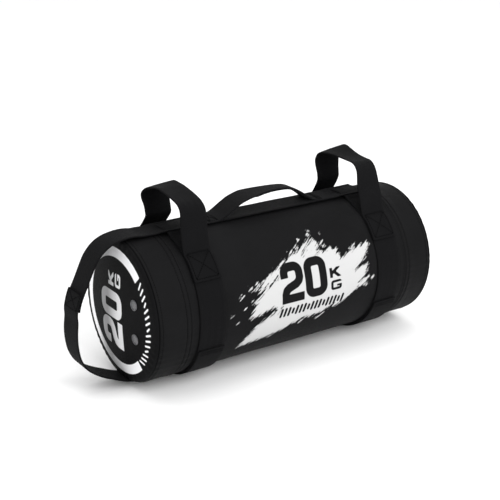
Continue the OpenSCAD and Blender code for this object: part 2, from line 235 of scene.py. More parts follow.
def graded(stops):
    """A line of positions whose spacing changes: stops are (position, spacing up to the next)."""
    line = [np.array([stops[0][0]])]
    for (start, step), (end, _) in zip(stops[:-1], stops[1:]):
        count = max(1, int(round((end - start) / step)))
        line.append(np.linspace(start, end, count + 1)[1:])
    return np.concatenate(line)


def add_mesh(name, vertices, faces, corner_uv=None, marks=None):
    """A smooth-shaded object from vertices and faces, with its faces turned outwards.

    faces is a list of whole arrays, each of triangles or of quads, and corner_uv matches it. The
    signed volume under all the faces tells whether they point outwards.
    """
    volume = 0.0
    for block in faces:
        for k in range(1, block.shape[1] - 1):
            a, b, c = (vertices[block[:, i]] for i in (0, k, k + 1))
            volume += np.einsum("ij,ij->i", a, np.cross(b, c)).sum()
    if volume < 0:
        faces = [block[:, ::-1] for block in faces]
        corner_uv = corner_uv and [block[:, ::-1] for block in corner_uv]
    mesh = bpy.data.meshes.new(name)
    corners = np.concatenate([block.ravel() for block in faces])
    sizes = np.concatenate([np.full(len(block), block.shape[1]) for block in faces])
    mesh.vertices.add(len(vertices))
    mesh.vertices.foreach_set("co", (vertices + AXIS).astype(np.float32).ravel())
    mesh.loops.add(len(corners))
    mesh.loops.foreach_set("vertex_index", corners.astype(np.int32))
    mesh.polygons.add(len(sizes))
    starts = np.concatenate([[0], np.cumsum(sizes)[:-1]])
    mesh.polygons.foreach_set("loop_start", starts.astype(np.int32))
    mesh.update(calc_edges=True)
    if corner_uv:
        layer = mesh.uv_layers.new(name="surface")
        flat = np.concatenate([block.reshape(-1, 2) for block in corner_uv])
        layer.data.foreach_set("uv", flat.astype(np.float32).ravel())
    for mark, values in (marks or {}).items():
        attribute = mesh.attributes.new(mark, "FLOAT", "POINT")
        attribute.data.foreach_set("value", values.astype(np.float32))
    mesh.shade_smooth()
    if mesh.validate():
        raise RuntimeError(f"{name}: its mesh was not valid")
    piece = bpy.data.objects.new(name, mesh)
    bpy.context.scene.collection.objects.link(piece)
    return piece


def add_grid(name, points, wrap_rows=False, wrap_cols=False, uv=None, marks=None, poles=()):
    """A surface over a grid of points, as quads, with a fan of triangles to a pole at an end.

    uv has one more row or column than points where that direction wraps, so that a pattern runs
    on over the join. poles holds "first" or "last", for a fan that closes that row.
    """
    rows, cols = points.shape[:2]
    row, col = np.meshgrid(
        np.arange(rows if wrap_rows else rows - 1),
        np.arange(cols if wrap_cols else cols - 1), indexing="ij")
    row = np.stack([row, row + 1, row + 1, row], axis=-1).reshape(-1, 4)
    col = np.stack([col, col, col + 1, col + 1], axis=-1).reshape(-1, 4)
    vertices = points.reshape(-1, 3)
    faces = [(row % rows) * cols + col % cols]
    corner_uv = None if uv is None else [uv[row, col]]
    marks = {mark: values.ravel() for mark, values in (marks or {}).items()}
    for pole in poles:
        edge = 0 if pole == "first" else rows - 1
        middle = points[edge].mean(axis=0)
        vertices = np.vstack([vertices, middle])
        first = np.arange(cols if wrap_cols else cols - 1)
        fan = [np.full(len(first), len(vertices) - 1), edge * cols + first,
               edge * cols + (first + 1) % cols]
        turned = fan if pole == "last" else [fan[0], fan[2], fan[1]]
        # A fan keeps the winding of the quads beside it: row then column
        faces.append(np.stack(turned, axis=-1)[:, ::-1])
        if uv is not None:
            ends = [np.broadcast_to(uv[edge].mean(axis=0), (len(first), 2)), uv[edge, first],
                    uv[edge, first + 1]]
            ends = ends if pole == "last" else [ends[0], ends[2], ends[1]]
            corner_uv.append(np.stack(ends, axis=1)[:, ::-1])
        marks = {mark: np.append(values, values[edge * cols : (edge + 1) * cols].mean())
                 for mark, values in marks.items()}
    return add_mesh(name, vertices, faces, corner_uv, marks)


def strip_section(width, thickness, flat=10, edge=4):
    """Outline of a flat strip with round edges, as distance across and height, all the way round.

    The two flats are straight, and each edge is a half circle of half the thickness.
    """
    half = width / 2 - thickness / 2
    across = np.linspace(-half, half, flat)
    turn = np.linspace(-math.pi / 2, math.pi / 2, edge + 2)[1:-1]
    right = np.stack([half + np.cos(turn) * thickness / 2, np.sin(turn) * thickness / 2], axis=1)
    bottom = np.stack([across, np.full(flat, -thickness / 2)], axis=1)
    return np.vstack([bottom, right, -bottom, -right])


def ribbon(name, path, side, width, thickness, cup=0.0, closed=False, edge_wave=0.35 * MM,
           lean=0.0):
    """Webbing along a path: a flat section with round edges, carried along it.

    side is the direction across at each point. Its part along the path is taken out, and the
    normal is side crossed with the path's direction. cup bends the section to the arc of the tube:
    height falls by cup times the distance across squared, over the tube's diameter. lean is added
    to the direction across, so that one edge runs ahead of the other. width and thickness may
    change along the path. Each edge waves a little.
    """
    count = len(path)
    width, thickness, cup = (np.broadcast_to(value, count).astype(float)
                             for value in (width, thickness, cup))
    if closed:
        ahead, behind = np.roll(path, -1, axis=0), np.roll(path, 1, axis=0)
        forward = unit(ahead - behind)
    else:
        forward = unit(np.gradient(path, axis=0))
    side = np.broadcast_to(side, path.shape)
    side = unit(side - forward * np.einsum("ij,ij->i", side, forward)[:, None])
    side = side + lean
    normal = unit(np.cross(side, forward))
    section_t = 0.04
    base = strip_section(1.0, section_t)
    share = base[:, 0] * 2
    along = lengths_along(path)
    wave = edge_wave * (np.sin(along / 0.017)[:, None] * (share > 0)
                        + np.sin(along / 0.013 + 2)[:, None] * (share < 0))
    across = base[None, :, 0] * (width[:, None] + 2 * wave)
    height = base[None, :, 1] / section_t * thickness[:, None]
    height = height - cup[:, None] * across**2 / (2 * RADIUS)
    points = (path[:, None, :] + side[:, None, :] * across[..., None]
              + normal[:, None, :] * height[..., None])
    total = along[-1] + (np.linalg.norm(path[0] - path[-1]) if closed else 0)
    lengthways = np.append(along, total) if closed else along
    crossways = np.append(base[:, 0], base[0, 0]) * width.mean()
    uv = np.stack(np.broadcast_arrays(lengthways[:, None], crossways[None, :]), axis=-1)
    return add_grid(name, points, wrap_rows=closed, wrap_cols=True, uv=uv,
                    poles=() if closed else ("first", "last"))


def stitches(name, seams, pitch, radius):
    """Sewing thread: a row of short raised stitches along each seam.

    A seam is a path and the outward normal at each of its points. A stitch is a bead stretched
    along the path, 0.68 of the pitch long, whose round section shrinks to nothing at both ends
    as the square root of 1 minus its place squared, and it arches out of the surface.
    """
    centres, forwards, normals = [], [], []
    for path, normal in seams:
        along = lengths_along(path)
        places = np.arange(pitch / 2, along[-1], pitch)
        centres.append(sampled(path, along, places))
        forwards.append(unit(sampled(path, along, places + pitch / 4)
                             - sampled(path, along, places - pitch / 4)))
        normals.append(unit(sampled(normal, along, places)))
    centre, forward, normal = (np.vstack(part) for part in (centres, forwards, normals))
    side = unit(np.cross(forward, normal))
    place = np.array([-0.92, -0.5, 0.0, 0.5, 0.92])
    swell = np.sqrt(1 - place**2)
    count, sides = len(centre), 6
    turn = np.arange(sides) * TURN / sides
    half = 0.34 * pitch
    sideways = np.cos(turn)[None, :] * swell[:, None]
    upwards = np.sin(turn)[None, :] * swell[:, None] + 0.5 * swell[:, None]
    ring = (forward[:, None, None, :] * (place * half)[None, :, None, None]
            + side[:, None, None, :] * sideways[None, :, :, None] * radius
            + normal[:, None, None, :] * upwards[None, :, :, None] * radius)
    rings = centre[:, None, None, :] + ring
    tips = centre[:, None, :] + forward[:, None, :] * np.array([-half, half])[None, :, None]
    size = len(place) * sides + 2
    vertices = np.concatenate([rings.reshape(count, -1, 3), tips], axis=1).reshape(-1, 3)
    row, col = np.meshgrid(np.arange(len(place) - 1), np.arange(sides), indexing="ij")
    quad = np.stack([row * sides + col, (row + 1) * sides + col,
                     (row + 1) * sides + (col + 1) % sides, row * sides + (col + 1) % sides],
                    axis=-1).reshape(-1, 4)
    k = np.arange(sides)
    last = (len(place) - 1) * sides
    first_fan = np.stack([np.full(sides, size - 2), k, (k + 1) % sides], axis=-1)
    last_fan = np.stack([np.full(sides, size - 1), last + (k + 1) % sides, last + k], axis=-1)
    shift = (np.arange(count) * size)[:, None, None]
    faces = [(quad[None] + shift).reshape(-1, 4),
             (np.vstack([first_fan, last_fan])[None] + shift).reshape(-1, 3)]
    return add_mesh(name, vertices, faces)


# ---------------------------------------------------------------------------------------------
# Distances to printed shapes: below zero inside a shape, above zero outside it


def line_distance(p, a, b, half_width):
    """Distance to a straight stroke with round ends between two points."""
    a, b = np.array(a, float), np.array(b, float)
    along = np.clip(((p - a) @ (b - a)) / ((b - a) @ (b - a)), 0, 1)
    return np.linalg.norm(p - a - along[..., None] * (b - a), axis=-1) - half_width


def route_distance(p, route, half_width):
    """Distance to a stroke along a route of straight lines."""
    pairs = zip(route[:-1], route[1:])
    return np.min([line_distance(p, a, b, half_width) for a, b in pairs], axis=0)


def box_distance(p, centre, half, corner):
    """Distance to a box with round corners."""
    q = np.abs(p - np.array(centre)) - np.array(half) + corner
    outside = np.linalg.norm(np.maximum(q, 0), axis=-1)
    return outside + np.minimum(q.max(axis=-1), 0) - corner


def outline_distance(p, outline):
    """Distance to a closed outline of straight lines, below zero where it winds round a point."""
    outline = np.array(outline, float)
    nearest = np.full(p.shape[:-1], 1e9)
    inside = np.zeros(p.shape[:-1], bool)
    for a, b in zip(outline, np.roll(outline, -1, axis=0)):
        nearest = np.minimum(nearest, line_distance(p, a, b, 0))
        crosses = (a[1] > p[..., 1]) != (b[1] > p[..., 1])
        rise = b[1] - a[1] if b[1] != a[1] else 1e-12
        meets = (b[0] - a[0]) * (p[..., 1] - a[1]) / rise + a[0]
        inside ^= crosses & (p[..., 0] < meets)
    return np.where(inside, -nearest, nearest)


# Half of a numeral's stroke, and half of its width and height to the middle of the stroke
STROKE, NUMERAL_X, NUMERAL_Y, NUMERAL_CORNER = 0.11, 0.22, 0.39, 0.15


def zero_distance(p):
    """A numeral 0, one unit high and 0.66 wide: a box with round corners, drawn as a stroke."""
    return np.abs(box_distance(p, (0, 0), (NUMERAL_X, NUMERAL_Y), NUMERAL_CORNER)) - STROKE


def two_distance(p):
    """A numeral 2, one unit high: a hooked top, a slanted neck and a flat foot."""
    arc = np.linspace(0, math.pi / 2, 6)
    in_x, in_y = NUMERAL_X - NUMERAL_CORNER, NUMERAL_Y - NUMERAL_CORNER
    top_left = [(-in_x - NUMERAL_CORNER * math.sin(t), in_y + NUMERAL_CORNER * math.cos(t))
                for t in arc[::-1]]
    top_right = [(in_x + NUMERAL_CORNER * math.sin(t), in_y + NUMERAL_CORNER * math.cos(t))
                 for t in arc]
    hook = route_distance(p, [(-NUMERAL_X, 0.08)] + top_left + top_right, STROKE)
    hook = np.maximum(hook, 0.13 - p[..., 1])
    neck = [(NUMERAL_X, in_y), (NUMERAL_X, 0.10), (0.19, 0.02), (0.11, -0.045), (-0.11, -0.12),
            (-0.19, -0.175), (-NUMERAL_X, -0.26), (-NUMERAL_X, -0.39)]
    foot = box_distance(p, (0.0, -0.39), (NUMERAL_X + STROKE, 0.11), 0.0)
    return np.min([hook, route_distance(p, neck, STROKE), foot], axis=0)


def unit_mark_distance(p):
    """The two letters of the weight's unit, one over the other: the upper one is one unit high."""
    lower = p - np.array([0.06, -1.28])
    stem = box_distance(p, (-0.42, 0), (0.15, 0.5), 0)
    arms = np.minimum(line_distance(p, (-0.34, -0.06), (0.44, 0.52), 0.15),
                      line_distance(p, (-0.12, 0.08), (0.47, -0.52), 0.15))
    arms = np.maximum(arms, np.abs(p[..., 1]) - 0.5)
    ring = np.abs(box_distance(lower, (0, 0), (0.45, 0.375), 0.14)) - 0.125
    mouth = box_distance(lower, (0.5, 0.15), (0.26, 0.11), 0)
    bar = box_distance(lower, (0.31, -0.05), (0.26, 0.1), 0)
    return np.min([stem, arms, np.minimum(np.maximum(ring, -mouth), bar)], axis=0)


def weight_mark_distance(p, size, letters_x):
    """The weight, two numerals high as size, with its unit at letters_x. p is in metres."""
    q = p / size
    two = two_distance(q - np.array([-0.353, 0]))
    zero = zero_distance(q - np.array([0.353, 0]))
    letter_w, letter_h = 0.29, 0.25
    letters = (q - np.array([letters_x, -0.005])) / np.array([letter_w, letter_h])
    letters = unit_mark_distance(letters) * letter_h
    return np.min([two, zero, letters], axis=0) * size


def tick_row_distance(p, start, end, count, height):
    """A row of slanted bars between two points, every fourth one short."""
    start, end = np.array(start, float), np.array(end, float)
    forward = (end - start) / count
    lean = np.array([0.3, 1.0]) * height / 2
    places = [start + forward * (i + 0.5) for i in range(count)]
    shares = [0.55 if i % 4 == 3 else 1.0 for i in range(count)]
    half = 0.3 * np.linalg.norm(forward)
    return np.min([line_distance(p, m - lean * s, m + lean * s, half)
                   for m, s in zip(places, shares)], axis=0)


# Brushed print on the front: x as a share of the tube's radius, and degrees above the front
BRUSHED_PATCH = [
    (-0.80, 5), (-0.90, -7), (-0.72, -6), (-0.50, -3), (-0.46, -5), (-0.79, -15.5),
    (-0.95, -27), (-1.01, -34), (-0.75, -31), (-0.50, -28), (-0.24, -24), (0.0, -19.5),
    (0.23, -18.5), (0.54, -15.5), (0.71, -11), (0.85, -6), (1.06, 0), (1.04, 7), (1.12, 14),
    (1.0, 13), (0.86, 11.5), (0.93, 14.5), (1.07, 20), (1.19, 29), (1.16, 31), (0.94, 29),
    (0.67, 23.5), (0.63, 28), (0.54, 35), (0.43, 31), (0.34, 33), (0.36, 39), (0.32, 43.5),
    (0.24, 44), (0.06, 38), (-0.16, 34), (-0.32, 30), (-0.60, 22), (-0.78, 13), (-0.62, 14),
]
# Loose marks round it: x, degrees, half length and half width in millimetres
LOOSE_MARKS = [
    (0.27, 48, 2.6, 1.6), (0.31, 51, 1.2, 0.8), (0.46, 46, 0.9, 0.8), (0.42, 39.5, 3.6, 1.6),
    (0.44, 36.5, 2.0, 1.2), (-1.02, 12.3, 2.6, 1.0), (-0.76, 18.3, 3.2, 1.5),
    (-0.87, 17, 1.8, 1.0), (-1.21, -1, 0.9, 0.8), (1.19, 2, 1.4, 1.1), (-0.86, 7, 1.0, 0.9),
    (0.08, 45.5, 0.9, 0.7), (0.0, 39.5, 2.4, 1.0), (-0.51, -30.3, 2.2, 0.8),
    (-0.03, -22.2, 3.4, 0.9), (1.05, -2.5, 2.6, 0.9), (1.09, 3, 3.0, 0.8),
    (-0.72, 17.5, 9.0, 0.9), (-0.52, 23.5, 7.0, 0.9), (-0.66, -31.5, 5.0, 0.7),
    (0.30, -21.5, 6.0, 0.8), (0.9, 30.3, 5.0, 0.7), (-1.1, -8, 0.7, 0.6), (-0.98, 2, 0.8, 0.6),
    (-0.93, -30, 2.4, 0.8), (0.62, 30.5, 1.2, 0.7), (-0.12, 37.5, 2.6, 0.8),
]
# Dry streaks left out of it, in the same way
DRY_STREAKS = [
    (0.17, 38.5, 9.0, 0.9), (0.25, 35.5, 8.0, 0.9), (0.10, 34.5, 6.0, 0.7),
    (0.38, 36.5, 7.0, 1.3), (0.33, 32, 5.5, 1.1), (-0.50, 18.5, 9.5, 0.9),
    (-0.66, 14.5, 7.5, 0.9), (-0.44, -6.5, 8.0, 1.0), (0.92, 12.8, 5.5, 1.6),
    (0.47, -15, 5.0, 0.9), (0.98, 2.5, 5.0, 0.8), (0.24, 41, 5.0, 0.8), (-0.30, 27.5, 6.0, 0.6),
]
STROKE_SLOPE = math.radians(36)


def mark_rows_distance(p, rows):
    """Distance to short strokes that all lie along the brush's direction.

    A stroke's length and width are drawn a little longer and narrower than its row says.
    """
    lean = np.array([math.cos(STROKE_SLOPE), math.sin(STROKE_SLOPE)])
    stretch, slimming, shortest = 1.3, 0.85, 0.01
    found = []
    for x, degrees, half_length, half_width in rows:
        middle = np.array([x, math.radians(degrees)]) * RADIUS
        reach = lean * stretch * max(half_length - half_width, shortest) * MM
        found.append(line_distance(p, middle - reach, middle + reach, slimming * half_width * MM))
    return np.min(found, axis=0)


def front_print(x, angle):
    """Distances to the front's white patch and to the dark marks in it, at points of the tube."""
    p = np.stack([x, angle * RADIUS], axis=-1)
    outline = np.array([(u, math.radians(v)) for u, v in BRUSHED_PATCH]) * RADIUS
    patch = outline_distance(p, outline)
    patch = np.maximum(patch, -mark_rows_distance(p, DRY_STREAKS))
    patch = np.minimum(patch, mark_rows_distance(p, LOOSE_MARKS))
    numerals = weight_mark_distance(
        p - np.array([0.0, math.radians(13.8)]) * RADIUS, 0.56 * RADIUS, 0.94)
    ticks = tick_row_distance(p, np.array([-0.42, math.radians(-9.7)]) * RADIUS,
                              np.array([0.68, math.radians(-9.2)]) * RADIUS, 17, 0.1 * RADIUS)
    return patch, np.minimum(numerals, ticks)


def end_print(reading, up):
    """Distance to the silver marks of an end, at points given along and across its numerals."""
    p = np.stack([reading, up], axis=-1)
    away = np.linalg.norm(p, axis=-1)
    angle = np.arctan2(reading, -up)
    band = np.abs(away - 0.806 * RADIUS) - 0.066 * RADIUS
    gap = (math.radians(47) - np.abs(angle)) * away
    ring = np.maximum(band, gap)
    numerals = weight_mark_distance(
        p - np.array([-0.135, 0.12]) * RADIUS, 0.578 * RADIUS, 0.97)
    bars = []
    for k in range(15):
        turn = math.radians(-41 + 82 * k / 14)
        inner, outer = (0.765, 0.85) if k % 4 != 3 else (0.785, 0.83)
        lean = math.radians(1.6)
        a = np.array([math.sin(turn - lean), -math.cos(turn - lean)]) * inner * RADIUS
        b = np.array([math.sin(turn + lean), -math.cos(turn + lean)]) * outer * RADIUS
        bars.append(line_distance(p, a, b, 1.5 * MM))
    return np.min([ring, numerals, *bars], axis=0)


# ---------------------------------------------------------------------------------------------
# Materials


def material(name):
    """A new material with its shader, and the two as tree and shader."""
    made = bpy.data.materials.new(name)
    made.use_nodes = True
    return made, made.node_tree, made.node_tree.nodes["Principled BSDF"]


def set_inputs(tree, made, inputs):
    """Sets a node's inputs, each to a value or to another node's output."""
    for name, value in inputs.items():
        if isinstance(value, bpy.types.NodeSocket):
            tree.links.new(value, made.inputs[name])
        else:
            made.inputs[name].default_value = value


def node(tree, kind, inputs=None, **settings):
    """A new node: settings are its own values, and an input is a value or another's output."""
    made = tree.nodes.new(kind)
    for name, value in settings.items():
        setattr(made, name, value)
    set_inputs(tree, made, inputs or {})
    return made


def maths(tree, operation, first, second=0.0, third=0.0):
    """The output of one Math node."""
    return node(tree, "ShaderNodeMath", {0: first, 1: second, 2: third},
                operation=operation).outputs[0]


def noise(tree, where, scale, detail=3.0, roughness=0.55):
    """The grey output of a noise at a scale in turns per metre."""
    return node(tree, "ShaderNodeTexNoise",
                {"Vector": where, "Scale": scale, "Detail": detail, "Roughness": roughness}
                ).outputs["Fac"]


def mapped(tree, where, scale=(1, 1, 1), turn=0.0):
    """A position turned about Z and then scaled."""
    turned = node(tree, "ShaderNodeMapping", {"Vector": where, "Rotation": (0, 0, turn)})
    return node(tree, "ShaderNodeMapping", {"Vector": turned.outputs[0], "Scale": scale}
                ).outputs[0]


def graded_colour(tree, value, low, high, start=0.0, end=1.0):
    """A colour that goes from low to high as the value goes from start to end."""
    share = node(tree, "ShaderNodeMapRange",
                 {"Value": value, "From Min": start, "From Max": end}).outputs[0]
    return node(tree, "ShaderNodeMix", {0: share, 6: (*low, 1), 7: (*high, 1)},
                data_type="RGBA").outputs[2]


def mixed_colour(tree, share, low, high):
    """A mix of two colours, each a colour or an output."""
    ends = {6: low, 7: high}
    ends = {k: v if isinstance(v, bpy.types.NodeSocket) else (*v, 1) for k, v in ends.items()}
    return node(tree, "ShaderNodeMix", {0: share, **ends}, data_type="RGBA").outputs[2]


def shares(colour, factor):
    """A colour made lighter or darker by a factor."""
    return tuple(min(1.0, part * factor) for part in colour)


def surface_uv(tree):
    """A place on the piece's surface: distance along it and across it, in metres."""
    return node(tree, "ShaderNodeUVMap", uv_map="surface").outputs[0]


def object_place(tree):
    """A place in the piece's own coordinates."""
    return node(tree, "ShaderNodeTexCoord").outputs["Object"]


def bumped(tree, shader, height, distance, strength=1.0):
    """Relief on the shader: a height from 0 to 1, as deep as distance in metres."""
    made = node(tree, "ShaderNodeBump",
                {"Height": height, "Distance": distance, "Strength": strength})
    set_inputs(tree, shader, {"Normal": made.outputs[0]})


def fabric_grain(tree, where, pitch):
    """Height of a plain weave, from 0 to 1: two crossed waves, each one pitch long."""
    turn = TURN / pitch
    parts = node(tree, "ShaderNodeSeparateXYZ", {0: where}).outputs
    warp = maths(tree, "SINE", maths(tree, "MULTIPLY", parts[0], turn))
    weft = maths(tree, "SINE", maths(tree, "MULTIPLY", parts[1], turn))
    return maths(tree, "MULTIPLY_ADD", maths(tree, "MULTIPLY", warp, weft), 0.5, 0.5)


def ink_share(tree, mark, spread=0.00025):
    """1 inside a printed mark and 0 outside it, from its distance in metres."""
    return node(tree, "ShaderNodeMapRange",
                {"Value": mark, "From Min": spread, "From Max": -spread}).outputs[0]


def mark_distance(tree, name):
    """A printed mark's distance, as the mesh keeps it under that name."""
    return node(tree, "ShaderNodeAttribute", attribute_name=name).outputs["Fac"]


def with_ink(tree, patch, ink, gain, base, rough, height):
    """Colour, roughness and height of the fabric with ink over the share that patch covers."""
    return (mixed_colour(tree, patch, base, ink), maths(tree, "MULTIPLY_ADD", patch, gain, rough),
            maths(tree, "MULTIPLY_ADD", patch, 0.8, height))


def with_white_patch(tree, flat, ink_settings, fabric):
    """The fabric's colour, roughness and height with the front's white patch on it.

    Noises drawn out along the brush's direction shift the patch's edge, which breaks it into dry
    streaks. The dark marks are left out of it.
    """
    brush = mapped(tree, flat, (26, 380, 1), -STROKE_SLOPE)
    bristle = mapped(tree, flat, (210, 900, 1), -STROKE_SLOPE)
    streak = maths(tree, "SUBTRACT", noise(tree, brush, 1.0, 4, 0.6), 0.5)
    fleck = maths(tree, "SUBTRACT", noise(tree, bristle, 1.0, 3), 0.5)
    edge = maths(tree, "MULTIPLY_ADD", streak, 0.025, mark_distance(tree, "print_patch"))
    edge = maths(tree, "MULTIPLY_ADD", fleck, 0.011, edge)
    dark = ink_share(tree, mark_distance(tree, "print_dark"))
    patch = maths(tree, "MULTIPLY", ink_share(tree, edge, 0.0003),
                  maths(tree, "SUBTRACT", 1.0, dark))
    worn = noise(tree, flat, 700, 4, 0.7)
    ink = graded_colour(tree, worn, shares(ink_settings.white, 0.93), ink_settings.white, 0.35, 0.6)
    return with_ink(tree, patch, ink, 0.08, *fabric)


def with_silver_marks(tree, flat, ink_settings, fabric):
    """The fabric's colour, roughness and height with an end's silver marks on it.

    The silver's tone is a painted reflection: it is dark along one strip behind the middle and paler
    away from it on both sides, as a foil's reflection would be, with a fine grid of printed dots.
    """
    patch = ink_share(tree, mark_distance(tree, "print_patch"))
    parts = node(tree, "ShaderNodeSeparateXYZ", {0: flat}).outputs
    # Painted reflection: the silver is painted darker along a strip near the middle and paler away
    # from it
    strip = maths(tree, "ABSOLUTE", maths(tree, "SUBTRACT", parts[0], 0.034))
    strip = maths(tree, "MULTIPLY", strip, 28.0)
    cloud = maths(tree, "SUBTRACT", noise(tree, flat, 14, 2), 0.5)
    strip = maths(tree, "MULTIPLY_ADD", cloud, 0.5, strip)
    dots = node(tree, "ShaderNodeTexVoronoi",
                {"Vector": flat, "Scale": 640.0, "Randomness": 0.25}).outputs["Distance"]
    # Painted reflection strip plus the printed dots
    reflection_and_dots = maths(tree, "MULTIPLY_ADD", maths(tree, "SUBTRACT", dots, 0.4), -0.45, strip)
    silver = graded_colour(tree, reflection_and_dots, shares(ink_settings.silver, 0.42),
                           shares(ink_settings.silver, 1.28), 0.25, 1.15)
    return with_ink(tree, patch, silver, -0.06, *fabric)


def cover_material(name, settings, ink_settings, add_print, gloss):
    """Black coated fabric with a fine grain, scuffs and dust, and a print that add_print adds.

    The print's edges come from the distances kept on the mesh.
    """
    made, tree, shader = material(name)
    place, flat = object_place(tree), surface_uv(tree)
    cloud = noise(tree, place, 9, 4)
    fine = noise(tree, place, 420, 3)
    base = graded_colour(tree, cloud, shares(settings.colour, 0.82),
                         shares(settings.colour, 1.25), 0.35, 0.68)
    scuff = noise(tree, mapped(tree, place, (40, 160, 160)), 1.0, 6, 0.7)
    scuffed = node(tree, "ShaderNodeMapRange",
                   {"Value": scuff, "From Min": 0.66, "From Max": 0.8, "To Max": 0.35}).outputs[0]
    base = mixed_colour(tree, scuffed, base, shares(settings.colour, 3.2))
    rough = maths(tree, "MULTIPLY_ADD", cloud, 0.22, settings.roughness - 0.11)
    height = maths(tree, "MULTIPLY_ADD", fine, 0.6, fabric_grain(tree, flat, 0.0011))
    base, rough, height = add_print(tree, flat, ink_settings, (base, rough, height))
    set_inputs(tree, shader, {"Base Color": base, "Roughness": rough, "Specular IOR Level": gloss,
                              "Sheen Weight": 0.005, "Sheen Roughness": 0.5})
    bumped(tree, shader, height, 0.00012, 0.8)
    return made


def webbing_material(name, settings):
    """Woven webbing: ribs across it in a herringbone, and a little fluff.

    A rib is a wave of the lengthways distance plus the crossways distance. The crossways distance
    is folded back and forth, so the ribs lean one way and then the other across the webbing.
    """
    made, tree, shader = material(name)
    flat = surface_uv(tree)
    parts = node(tree, "ShaderNodeSeparateXYZ", {0: flat}).outputs
    pitch = settings.weave_pitch
    across = maths(tree, "PINGPONG", maths(tree, "ADD", parts[1], 1.0), 3.4 * pitch)
    slant = maths(tree, "MULTIPLY_ADD", across, 0.9, parts[0])
    rib = maths(tree, "SINE", maths(tree, "MULTIPLY", slant, TURN / pitch))
    cord_row = maths(tree, "SINE", maths(tree, "MULTIPLY", parts[1], TURN / (0.85 * pitch)))
    weave = maths(tree, "MULTIPLY_ADD", maths(tree, "MULTIPLY", rib, cord_row), 0.35,
                  maths(tree, "MULTIPLY_ADD", rib, 0.15, 0.5))
    fluff = noise(tree, flat, 1500, 3)
    cloud = noise(tree, flat, 22, 4)
    colour = graded_colour(tree, weave, shares(settings.colour, 0.55),
                           shares(settings.colour, 1.5), 0.1, 0.95)
    colour = mixed_colour(tree, maths(tree, "MULTIPLY", cloud, 0.35), colour,
                          shares(settings.colour, 1.9))
    rough = maths(tree, "MULTIPLY_ADD", fluff, 0.2, 0.62)
    set_inputs(tree, shader, {"Base Color": colour, "Roughness": rough, "Specular IOR Level": 0.03,
                              "Sheen Weight": 0.012, "Sheen Roughness": 0.45})
    bumped(tree, shader, maths(tree, "MULTIPLY_ADD", fluff, 0.35, weave), 0.0003, 0.9)
    return made


def plain_material(name, low, high, scale, rough, relief, metal=0.0, gloss=0.5):
    """A finish whose colour and relief follow a noise between two tones."""
    made, tree, shader = material(name)
    cloud = noise(tree, object_place(tree), scale, 4, 0.6)
    set_inputs(tree, shader, {
        "Base Color": graded_colour(tree, cloud, low, high, 0.35, 0.65),
        "Roughness": maths(tree, "MULTIPLY_ADD", cloud, 0.2, rough - 0.1),
        "Metallic": metal, "Specular IOR Level": gloss})
    bumped(tree, shader, cloud, relief, 0.8)
    return made


def woven_material(name, low, high, pitch, rough, gloss=0.5):
    """A loose plain weave over the piece's own coordinates: lighter threads over darker gaps."""
    made, tree, shader = material(name)
    grain = fabric_grain(tree, object_place(tree), pitch)
    set_inputs(tree, shader, {"Base Color": graded_colour(tree, grain, low, high, 0.2, 0.8),
                              "Roughness": rough, "Specular IOR Level": gloss})
    bumped(tree, shader, grain, pitch * 0.2, 0.8)
    return made


def screen_material(name):
    """Fine wire mesh: bright wires along two directions over holes painted dark as painted shade."""
    made, tree, shader = material(name)
    flat = surface_uv(tree)
    parts = node(tree, "ShaderNodeSeparateXYZ", {0: flat}).outputs
    wire_pitch = 0.9 * MM
    waves = [maths(tree, "MULTIPLY", part, TURN / wire_pitch / 2) for part in parts[:2]]
    wires = [maths(tree, "ABSOLUTE", maths(tree, "SINE", wave)) for wave in waves]
    hole = maths(tree, "MULTIPLY", wires[0], wires[1])
    # Painted shade: the holes are painted near black for the shade seen through them, the wires grey
    grey = graded_colour(tree, hole, (0.30, 0.30, 0.31), (0.02, 0.02, 0.02), 0.25, 0.7)
    set_inputs(tree, shader, {"Base Color": grey, "Roughness": 0.5, "Metallic": 0.4})
    bumped(tree, shader, maths(tree, "SUBTRACT", 1.0, hole), 0.0002, 0.9)
    return made


def finish_with(piece, finish, body=None, replaced=()):
    """Gives a piece its finish and slot, the body it rides on and the nodes it stands for."""
    piece.data.materials.clear()
    piece.data.materials.append(finish)
    if body:
        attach(piece, body)
    if replaced:
        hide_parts(*replaced)
    return piece


def kept(make, name, *values, **settings):
    """The material of that name, which make makes with these values on its first use."""
    return bpy.data.materials.get(name) or make(name, *values, **settings)


def webbing_finish():
    """The finish that every piece of webbing shares."""
    return kept(webbing_material, "webbing_weave", bpy.context.scene.bag_webbing)


def thread_finish():
    """The finish that all the sewing thread shares."""
    return kept(plain_material, "sewing_thread", (0.0006, 0.0006, 0.0007),
                (0.0016, 0.0016, 0.0017), 900, 0.8, 0.0001, gloss=0.02)


# ---------------------------------------------------------------------------------------------
# Cover


def end_folds(angle, shift):
    """Height, about -1 to 1, of the small folds round an end seam."""
    return (np.sin(53 * angle + 3 * np.sin(3 * angle))
            * (0.6 + 0.4 * np.sin(7 * angle + 1.3 * shift)))


